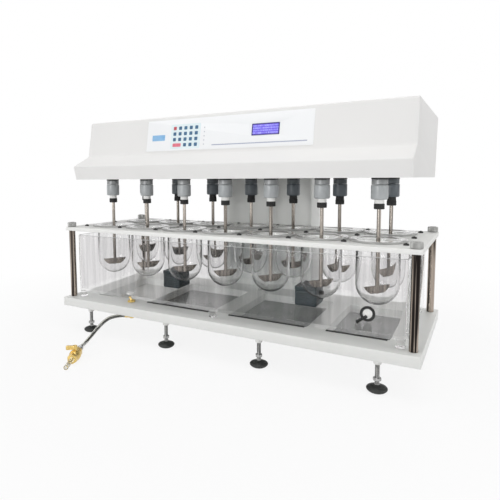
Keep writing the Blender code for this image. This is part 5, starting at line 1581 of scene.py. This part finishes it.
@dataclass
class VesselDeck:
    """The white board with its vessels, clamps, posts and knurled nuts."""

    board_high: Point = (0.55, 0.109, 0.345)
    hole: float = 0.0545
    vessel: float = 0.0535
    wall: float = 0.0028
    flange: float = 0.070
    flange_thickness: float = 0.005
    height: float = 0.168
    rim: float = 0.3503
    bowl_steps: int = 14
    clamp_y: float = 0.1405
    post_at: Flat = (0.535, 0.182)
    post_length: float = 0.2224
    knob_z: float = 0.3453
    knob_radii: Flat = (0.0138, 0.0131)
    teeth: int = 44

    def board(self) -> Piece:
        """Cut the board's holes and round its edges."""
        low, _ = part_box("vessel_plate")
        piece = soften(slab("board", low, self.board_high), 0.0015, 3)
        ends = (low.z - 0.01, self.board_high[2] + 0.01)
        for _, x, y in STATIONS.places():
            cut(piece, drawn("hole", ring_outline([self.hole], 64), *ends, shifted(x, y, 0.0)))
        return smooth(piece, 30.0)

    def vessel_model(self) -> Piece:
        """Turn one round-bottomed vessel with its ground flange."""
        outer = self.vessel
        inner = outer - self.wall
        centre = outer - self.height
        turns = [step * math.pi / 2 / self.bowl_steps for step in range(self.bowl_steps + 1)]
        outside, inside = (
            [(radius * math.sin(turn), centre - radius * math.cos(turn)) for turn in turns]
            for radius in (outer, inner)
        )
        thick = self.flange_thickness
        neck = [
            (outer, -thick - 0.003), (outer + 0.0008, -thick - 0.001), (outer + 0.003, -thick),
            (self.flange - 0.0008, -thick), (self.flange, -thick + 0.0008), (self.flange, -0.0008),
            (self.flange - 0.0008, 0.0), (inner + 0.001, 0.0), (inner, -0.001),
        ]
        piece = smooth(turned("vessel", outside + neck + inside[::-1], 56), 50.0)
        rim = self.flange - 0.001
        # The flange's outer edge takes the dark ground rim, partly ground glass and partly painted shade
        return parted(piece, Clears.GLASS, (
            Clears.GROUND_RIM_SHADE, lambda at, normal: math.hypot(at.x, at.y) > rim and abs(normal.z) < 0.8,
        ))

    def clamp_model(self) -> Piece:
        """Draw one black clamp with its raised back and its screw."""
        block = drawn("clamp", box_outline(0.013, 0.007, 0.002, steps=4), 0.0, 0.0036)
        soften(stepped(block, 0.0012, 0.0012), 0.0005)
        screw = turned("screw", to_axis([(0.0022, 0.0046), (0.0022, 0.0058), (0.0014, 0.0062)]), 16)
        return smooth(joined("clamp", [block, screw]), 35.0)

    def post_model(self) -> Piece:
        """Turn one post with its relief groove and end chamfers."""
        low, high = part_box("corner_post_front_left")
        length = self.post_length
        top = high.z - low.z
        profile = [
            (0.0092, 0.0), (0.01, 0.0009), (0.01, length - 0.0009), (0.0092, length),
            (0.004, length), (0.004, top - 0.0006), (0.0034, top),
        ]
        return lathed("post", profile, 48)

    def knob_model(self) -> Piece:
        """Draw one knurled nut, with its crown and its blind top."""
        piece = drawn("knob", ring_outline(self.knob_radii, self.teeth), 0.0016, 0.013)
        return smooth(stepped(tapered(piece, 0.0018, -0.0013), 0.0035, 0.0009), 28.0)

    def corners(self) -> list[tuple[str, float, float]]:
        """Give the name and place of each post."""
        x, y = self.post_at
        middle = STATIONS.middle_y()
        return [
            (f"{depth}_{side}", across * x, middle + along * y)
            for depth, along in (("front", -1.0), ("rear", 1.0))
            for side, across in (("left", -1.0), ("right", 1.0))
        ]

    def build(self) -> None:
        """Model the deck and hang the vessels in it."""
        deliver(self.board(), Paints.WHITE_BOARD, "stand", "vessel_plate")
        vessel = self.vessel_model()
        for name, x, y in STATIONS.places():
            twin = copied(vessel, f"glass_{name}", shifted(x, y, self.rim))
            mount(twin, Clears.GLASS, "stand", f"vessel_{name}")
        middle = STATIONS.middle_y()
        rows = (middle - self.clamp_y, middle, middle + self.clamp_y)
        clamps = numbered((x, y, self.board_high[2]) for x in STATIONS.between() for y in rows)
        spread(self.clamp_model(), Paints.BLACK_PLASTIC, "stand", clamps)
        post = self.post_model()
        knob = self.knob_model()
        for name, x, y in self.corners():
            node = f"corner_post_{name}"
            low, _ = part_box(node)
            deliver(copied(post, f"post_{name}", shifted(x, y, low.z)), Metals.POST_STEEL, "stand", node)
            node = f"plate_knob_{name}"
            deliver(copied(knob, f"nut_{name}", shifted(x, y, self.knob_z)), Metals.KNOB, node, node)
        for model in (vessel, post, knob):
            bpy.data.objects.remove(model)


@dataclass
class Stirrers:
    """The fourteen stirrers, each with its chuck, neck, collet nut and paddle."""

    head_z: float = 0.502
    drop: float = 0.0176
    chuck: float = 0.036
    neck: float = 0.010
    collet: float = 0.014
    collet_radii: Sequence[float] = (0.0128, 0.0128, 0.012, 0.012)
    flutes: int = 18
    pulley_low: float = 0.0146
    blade_angle: float = 45.0
    blade_half: float = 0.03725
    blade_height: float = 0.019
    blade_arc: float = 0.0415
    blade_steps: int = 12

    def chuck_model(self) -> Piece:
        """Turn the grey chuck with its rounded shoulder and lower step."""
        high = -self.drop
        low = high - self.chuck
        profile = [
            (0.0175, low), (0.0188, low + 0.0005), (0.0202, low + 0.0022), (0.0206, low + 0.0044),
            (0.0206, high - 0.0028), (0.0203, high - 0.0012), (0.0196, high - 0.0003), (0.0185, high),
        ]
        return lathed("chuck", profile, 48, shade=40.0)

    def neck_model(self) -> Piece:
        """Turn the white neck under the chuck."""
        high = -self.drop - self.chuck
        low = high - self.neck
        profile = [(0.0118, low), (0.0122, low + 0.0006), (0.0116, high - 0.0018), (0.0124, high)]
        return lathed("neck", profile, 36, 0.0003, 40.0)

    def collet_model(self) -> Piece:
        """Draw the fluted black nut that grips the shaft."""
        high = -self.drop - self.chuck - self.neck
        outline = ring_outline(self.collet_radii, self.flutes)
        piece = drawn("collet", outline, high - self.collet + 0.001, high - 0.001)
        return smooth(tapered(piece, 0.001, -0.001), 30.0)

    def paddle_model(self, blade_low: float) -> Piece:
        """Turn the shaft and draw the blade that is fixed on its end.

        Args:
            blade_low: The blade's lower edge under the head.

        Returns:
            The paddle as one piece.
        """
        top = -self.drop - self.chuck - self.neck - self.collet
        profile = [
            (0.0042, blade_low - 0.0003), (0.005, blade_low + 0.0006), (0.005, blade_low + 0.0182),
            (0.005, top),
        ]
        shaft = turned("shaft", to_axis(profile), 28)
        radius = self.blade_arc
        centre = self.blade_height + math.sqrt(radius ** 2 - self.blade_half ** 2)
        start = math.atan2(self.blade_height - centre, self.blade_half)
        end = math.atan2(-centre, math.sqrt(max(radius ** 2 - centre ** 2, 0.0)))
        turns = [start + (end - start) * step / self.blade_steps for step in range(self.blade_steps + 1)]
        right = [(radius * math.cos(turn), blade_low + centre + radius * math.sin(turn)) for turn in turns]
        outline = right + [(-u, v) for u, v in reversed(right)]
        place = Matrix.Rotation(math.radians(self.blade_angle), 4, "Z") @ Matrix.Rotation(math.pi / 2, 4, "X")
        blade = soften(drawn("blade", outline, -0.002, 0.002, place), 0.0005)
        return smooth(joined("paddle", [shaft, blade]), 35.0)

    def spindle_model(self) -> Piece:
        """Turn the toothed pulley and its spindle inside the head."""
        low = self.pulley_low
        profile = [
            (0.008, -self.drop), (0.008, low), (0.022, low), (0.022, low + 0.0015), (0.0205, low + 0.0018),
            (0.0205, low + 0.0142), (0.022, low + 0.0145), (0.022, low + 0.016), (0.006, low + 0.016),
            (0.006, low + 0.014),
        ]
        return lathed("spindle", profile, 40, 0.0003)

    def build(self) -> None:
        """Model one stirrer and hang fourteen of them."""
        low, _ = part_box("stirrer_front_1")
        parts = (
            (self.spindle_model(), Metals.CAST),
            (self.chuck_model(), Paints.GREY_PLASTIC),
            (self.neck_model(), Paints.WHITE_PLASTIC),
            (self.collet_model(), Paints.BLACK_PLASTIC),
            (self.paddle_model(low.z - self.head_z), Metals.STEEL),
        )
        # The rear row gets the darker chuck and a black neck as painted shade, for the head's shadow over it
        rear = {"chuck": Paints.SHADED_CHUCK_PLASTIC, "neck": Paints.BLACK_PLASTIC}
        for name, x, y in STATIONS.places():
            node = f"stirrer_{name}"
            for model, finish in parts:
                twin = copied(model, f"{model.name}_{name}", shifted(x, y, self.head_z))
                deliver(twin, rear.get(model.name, finish) if name.startswith("rear") else finish, node)
                if model.name == "chuck":
                    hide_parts(node)
        for model, _ in parts:
            bpy.data.objects.remove(model)


@dataclass
class Head:
    """The lifting head: folded cover, chassis, back pan, panel and display."""

    half: float = 0.522
    base_z: float = 0.502
    rise: float = 0.191
    sheet: float = 0.0025
    end_round: float = 0.003
    front: float = -0.174
    corners: Sequence[Flat] = ((-0.082, 0.0), (-0.092, 0.042), (-0.023, 0.076), (-0.003, 0.191))
    folds: Sequence[float] = (0.0, 0.004, 0.012, 0.006, 0.0, 0.0)
    back_top: float = 0.472
    back_bottom: float = 0.431
    pan_depth: float = 0.020
    pan_gap: float = 0.0003
    panel_size: Flat = (0.543, 0.096)
    film: float = 0.0015
    key_size: float = 0.0105
    key_pitch: Flat = (0.0193, 0.0172)
    keypad: Flat = (-0.128, 0.0523)
    indicators: int = 5
    display_centre: Flat = (0.134, 0.0595)
    inlet_x: float = -0.4
    inlet_rise: float = 0.08
    rocker_tilt: float = 10.0
    rocker_half: float = 0.008

    def point(self, y: float, z: float) -> Flat:
        """Give a point of the section in scene units."""
        return (self.front + y, self.base_z + z)

    def face(self) -> Matrix:
        """Give the frame of the leaning front: X to the right, Y up the face, Z out."""
        fold, brow = (Vector((0.0, *self.point(*corner))) for corner in self.corners[2:])
        up = (brow - fold).normalized()
        right = Vector((1.0, 0.0, 0.0))
        return framed(fold, right, up, right.cross(up))

    def back_face(self) -> Matrix:
        """Give the frame on the back pan at the inlet: X to the left, Y up the slope, Z out."""
        bottom = Vector((self.inlet_x, *self.point(self.back_bottom, 0.0)))
        top = Vector((self.inlet_x, *self.point(self.back_top, self.rise)))
        up = (top - bottom).normalized()
        left = Vector((-1.0, 0.0, 0.0))
        return framed(bottom + up * self.inlet_rise, left, up, left.cross(up))

    def folded(self, piece: Piece, segments: int, kept_sharp: Test) -> Piece:
        """Round the edges of an open sheet's two ends and give it its wall.

        Args:
            piece: The sheet, open in edit mode.
            segments: How many faces each round has.
            kept_sharp: Takes the two ends of an edge and tells whether it stays as it is.

        Returns:
            The sheet, in object mode.
        """
        end = self.half - 0.0001
        pick_edges(lambda a, b: abs(a.x) > end and abs(b.x) > end and a.x * b.x > 0 and not kept_sharp(a, b))
        bpy.ops.mesh.bevel(offset=self.end_round, segments=segments, affect="EDGES")
        deselect_all()
        return walled(piece, self.sheet)

    def cover(self) -> Piece:
        """Fold the cover: raise its section, open it below and behind, round its ends and give it its sheet."""
        top = self.point(self.back_top - self.pan_depth, self.rise)
        bottom = self.point(self.back_bottom - self.pan_depth, 0.0)
        section = rounded([*(self.point(*corner) for corner in self.corners), top, bottom], self.folds, 6)
        piece = drawn("cover", section, -self.half, self.half, section_frame())
        opened(piece, lambda at, normal: normal.z < -SQUARE_ON or normal.y > 0.7)
        return smooth(self.folded(piece, 4, self.at_opening), 28.0)

    def at_opening(self, a: Vector, b: Vector) -> bool:
        """Tell whether an edge of the cover's end lies on its open bottom or its open back."""
        low = self.base_z + 0.0002
        back = {
            round(self.point(y - self.pan_depth, 0.0)[0], 4) for y in (self.back_top, self.back_bottom)
        }
        return (a.z < low and b.z < low) or {round(a.y, 4), round(b.y, 4)} == back

    def back_pan(self) -> Piece:
        """Fold the shallow pan that closes the back."""
        depth = self.pan_depth - self.pan_gap
        corners = [
            self.point(self.back_bottom - depth, 0.0), self.point(self.back_bottom, 0.0),
            self.point(self.back_top, self.rise), self.point(self.back_top - depth, self.rise),
        ]
        section = rounded(corners, [0.0, 0.004, 0.004, 0.0], 5)
        piece = drawn("back_pan", section, -self.half, self.half, section_frame())
        opened(piece, lambda at, normal: normal.y < -0.7)
        self.folded(piece, 3, self.at_pan_mouth)
        low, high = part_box("power_inlet")
        hole = box_outline(0.0512, 0.0294, centre=((low.x + high.x) / 2, (low.z + high.z) / 2))
        cut(piece, drawn("inlet_hole", hole, -0.36, -0.2, front_frame()))
        return smooth(piece, 28.0)

    def at_pan_mouth(self, a: Vector, b: Vector) -> bool:
        """Tell whether an edge of the back pan's end lies on its open side."""
        edge = self.front + self.back_bottom - self.pan_depth + self.pan_gap
        lean = (self.back_top - self.back_bottom) / self.rise
        return max(a.y, b.y) <= edge + 0.002 or all(
            abs(point.y - edge - (point.z - self.base_z) * lean) < 0.001 for point in (a, b)
        )

    def chassis(self) -> Piece:
        """Draw the plate that closes the head from below, with its bores."""
        low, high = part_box("head_chassis")
        piece = slab("underside", (low.x, low.y, self.base_z), (high.x, high.y, self.base_z + 0.004))
        ends = (self.base_z - 0.012, self.base_z + 0.018)
        for _, x, y in STATIONS.places():
            cut(piece, drawn("bore", ring_outline([0.012], 32), *ends, shifted(x, y, 0.0)))
        return smooth(soften(piece, 0.0006), 30.0)

    def housing_model(self) -> Piece:
        """Turn one flanged bearing housing."""
        profile = [
            (0.0083, -0.017), (0.0188, -0.017), (0.0195, -0.0163), (0.0195, -0.0048), (0.0188, -0.0041),
            (0.0118, -0.0041), (0.0118, 0.0138), (0.0083, 0.0138),
        ]
        return lathed("housing", profile, 40, bored=True)

    def gasket_model(self) -> Piece:
        """Turn the black ring between a housing and the chassis, a painted shadow line where the housing meets
        the head.
        """
        profile = [
            (0.0121, -0.0039), (0.0198, -0.0039), (0.0202, -0.0034), (0.0202, -0.0006), (0.0198, -0.0001),
            (0.0121, -0.0001),
        ]
        return lathed("gasket", profile, 40, bored=True)

    def patch(self, name: str, centre: Flat, size: Flat, ends: Flat, corner: float) -> Piece:
        """Draw one flat rounded patch on the leaning face.

        Args:
            name: The piece's name.
            centre: Its middle on the face.
            size: Its width and height.
            ends: Its back and its front above the face.
            corner: The radius of its corners.

        Returns:
            The patch.
        """
        return drawn(name, box_outline(*size, corner, centre), *ends, self.face())

    def printed(
        self, name: str, centre: Flat, size: Flat, ends: Flat, corner: float, finish: Finish, edge: float = 0.0
    ) -> None:
        """Draw a patch as patch does, round its edges by a width or not at all, and deliver it in a finish."""
        piece = self.patch(name, centre, size, ends, corner)
        if edge > 0:
            soften(piece, edge, 2, 50.0)
        deliver(smooth(piece), finish, "head")

    def panel(self) -> None:
        """Lay the printed panel with its keypad, badge place, rule and indicators."""
        panel = self.patch("panel", (0.0, 0.058), self.panel_size, (0.0003, self.film), 0.003)
        cut(panel, self.patch("opening", self.display_centre, (0.0826, 0.0336), (-0.01, 0.01), 0.001))
        deliver(smooth(soften(panel, 0.0003, 2, 50.0)), Paints.PANEL_FILM, "head", "control_panel")
        low = self.film - 0.0003
        film = (low, self.film + 0.00015)
        self.printed("keypad_ground", self.keypad, (0.106, 0.076), film, 0.004, Paints.KEYPAD_FILM)
        self.printed(
            "badge_place", (-0.227, 0.0512), (0.048, 0.018), (low, self.film + 0.0004), 0.0015,
            Paints.BADGE_FILM, 0.0002,
        )
        self.printed("rule", (0.1105, 0.0222), (0.289, 0.0028), film, 0.0006, Paints.RULE_FILM)
        for number in range(self.indicators):
            self.printed(
                f"indicator_{number + 1}", (-0.0615, 0.0255 + number * 0.0125), (0.0042, 0.0042),
                (low, self.film + 0.0005), 0.0019, Paints.INDICATOR, 0.0003,
            )
        self.keys(film[1])

    def keys(self, low: float) -> None:
        """Raise the membrane keys on their ground.

        Args:
            low: The height of the ground above the face.
        """
        pitch_x, pitch_y = self.key_pitch
        left = self.keypad[0] - 2 * pitch_x
        bottom = self.keypad[1] - 1.5 * pitch_y
        keys = [
            (f"{row + 1}_{column + 1}", row, column, self.key_size, Paints.KEY_NAVY)
            for row in range(4) for column in range(5) if row > 0 or column > 1
        ]
        keys = [(*key[:-1], Paints.KEY_RED) if key[0] == "4_1" else key for key in keys]
        keys.append(("1_wide", 0, 0.5, self.key_size + pitch_x, Paints.KEY_PINK))
        for tag, row, column, width, finish in keys:
            centre = (left + column * pitch_x, bottom + row * pitch_y)
            size = (width, self.key_size)
            self.printed(f"key_{tag}", centre, size, (low - 0.0004, low + 0.00075), 0.0018, finish, 0.0004)

    def display(self) -> None:
        """Set the display in its frame."""
        face = self.face()
        rim = self.patch("display_frame", self.display_centre, (0.082, 0.033), (0.0003, 0.0021), 0.0012)
        soften(stepped(rim, 0.0028, -0.0008, face.col[2].to_3d()), 0.0003, 2, 50.0)
        deliver(smooth(rim), Paints.DISPLAY_FRAME, "head", "display_window")
        lit = DisplayFinish(
            "display_lit", "display", (0.13, 0.08, 0.64), (0.08, 0.05, 0.52), gloss=(0.08, 0.18),
            relief=0.000005, grain=900.0, drift=30.0, glow=0.35,
            centre=tuple(face @ Vector((*self.display_centre, self.film))), tilt=math.radians(80.1), rows=150.0,
        )
        self.printed("display_glass", self.display_centre, (0.0762, 0.0272), (0.0012, 0.0015), 0.0008, lit)

    def inlet(self) -> None:
        """Model the mains inlet with its keyed socket and three pins, and the opening for its switch."""
        place = self.back_face()
        body = soften(drawn("inlet_flange", box_outline(0.0575, 0.0355, 0.004), 0.0003, 0.0032, place), 0.0006)
        shell = box_outline(0.0495, 0.0275, 0.002, steps=3)
        combined(body, drawn("inlet_shell", shell, -0.0255, 0.001, place), "UNION")
        keyed = rounded(
            [
                (-0.0225, -0.009), (0.0025, -0.009), (0.0025, 0.0045), (-0.002, 0.009), (-0.018, 0.009),
                (-0.0225, 0.0045),
            ],
            [0.0015] * 6, 3,
        )
        cut(body, drawn("socket", keyed, -0.0128, 0.01, place))
        window = box_outline(0.0116, 0.0166, 0.0008, (0.0175, 0.0), 3)
        cut(body, drawn("window", window, -0.0058, 0.01, place))
        deliver(smooth(body, 30.0), Paints.BLACK_PLASTIC, "head", "power_inlet")
        for number, at in enumerate(((-0.017, 0.003), (-0.010, -0.003), (-0.003, 0.003)), 1):
            blade = box_outline(0.002, 0.004, 0.0005, at, 2)
            pin = soften(drawn(f"inlet_pin_{number}", blade, -0.013, 0.001, place), 0.0004)
            deliver(smooth(pin, 30.0), Metals.ZINC, "head")

    def rocker(self) -> None:
        """Draw the rocker with its hollowed top, tilted to its off side."""
        base = self.back_face()
        place = base @ Matrix.Rotation(math.radians(-self.rocker_tilt), 4, "X") @ section_frame()
        place.translation = base @ Vector((0.0175, 0.0, 0.0033))
        half = self.rocker_half
        crest = [(half * step / 6, 0.002 + 0.0015 * (step / 6) ** 2) for step in range(-6, 7)]
        outline = [(-half + 0.002, -0.006), (half - 0.002, -0.006), *reversed(crest)]
        rocker = soften(drawn("rocker", outline, -0.0054, 0.0054, place), 0.0004)
        deliver(smooth(rocker, 40.0), Paints.RUBBER, "switch_rocker", "switch_rocker")

    def build(self) -> None:
        """Model and mount the head's shell, its chassis and its front."""
        deliver(self.cover(), Paints.WHITE_PAINT, "head", "head_cover")
        deliver(self.back_pan(), Paints.WHITE_PAINT, "head", "head_back_cover")
        deliver(self.chassis(), Paints.WHITE_PAINT, "head", "head_chassis")
        housing = self.housing_model()
        gasket = self.gasket_model()
        for name, x, y in STATIONS.places():
            place = shifted(x, y, self.base_z)
            # The rear housings take the darker copy as painted shade
            finish = Metals.HOUSING if name.startswith("front") else Metals.SHADED_HOUSING
            deliver(copied(housing, f"housing_{name}", place), finish, "head")
            # Each black ring is a painted shadow line under the head
            deliver(copied(gasket, f"gasket_{name}", place), Paints.SHADE_BLACK, "head")
        bpy.data.objects.remove(housing)
        bpy.data.objects.remove(gasket)
        self.panel()
        self.display()
        self.inlet()
        self.rocker()


@dataclass
class Lift:
    """The column behind the bath, and the drive and lift inside the covers."""

    corner: float = 0.006
    sheet: float = 0.0025

    def column(self) -> Piece:
        """Draw the column's plan, raise it and open its ends."""
        low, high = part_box("column_cover")
        piece = drawn("column", plan_outline(low, high, self.corner, 6), low.z, high.z)
        opened(piece, lambda at, normal: abs(normal.z) > SQUARE_ON)
        deselect_all()
        return smooth(walled(piece, self.sheet), 30.0)

    def build(self) -> None:
        """Model the column and give what stays packed its finish."""
        deliver(self.column(), Paints.COLUMN_GREY, "stand", "column_cover")
        redress("lift_mast", Paints.WHITE_PAINT)
        redress("lift_actuator", Metals.CAST)
        redress("actuator_rod", Metals.STEEL)
        redress("drive_motor", Metals.CAST)
        redress("drive_belt", Paints.BELT)
        redress("motor_pulley", Metals.CAST)


def main() -> None:
    """Build the studio and every sub-assembly."""
    logging.basicConfig(level=logging.INFO, format="%(message)s", stream=sys.stdout)
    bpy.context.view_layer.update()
    Studio().build()
    DrainLine().build()
    BaseTray().build()
    Bath().build()
    VesselDeck().build()
    Stirrers().build()
    Head().build()
    Lift().build()
    deselect_all()


if __name__ == "__main__":
    main()
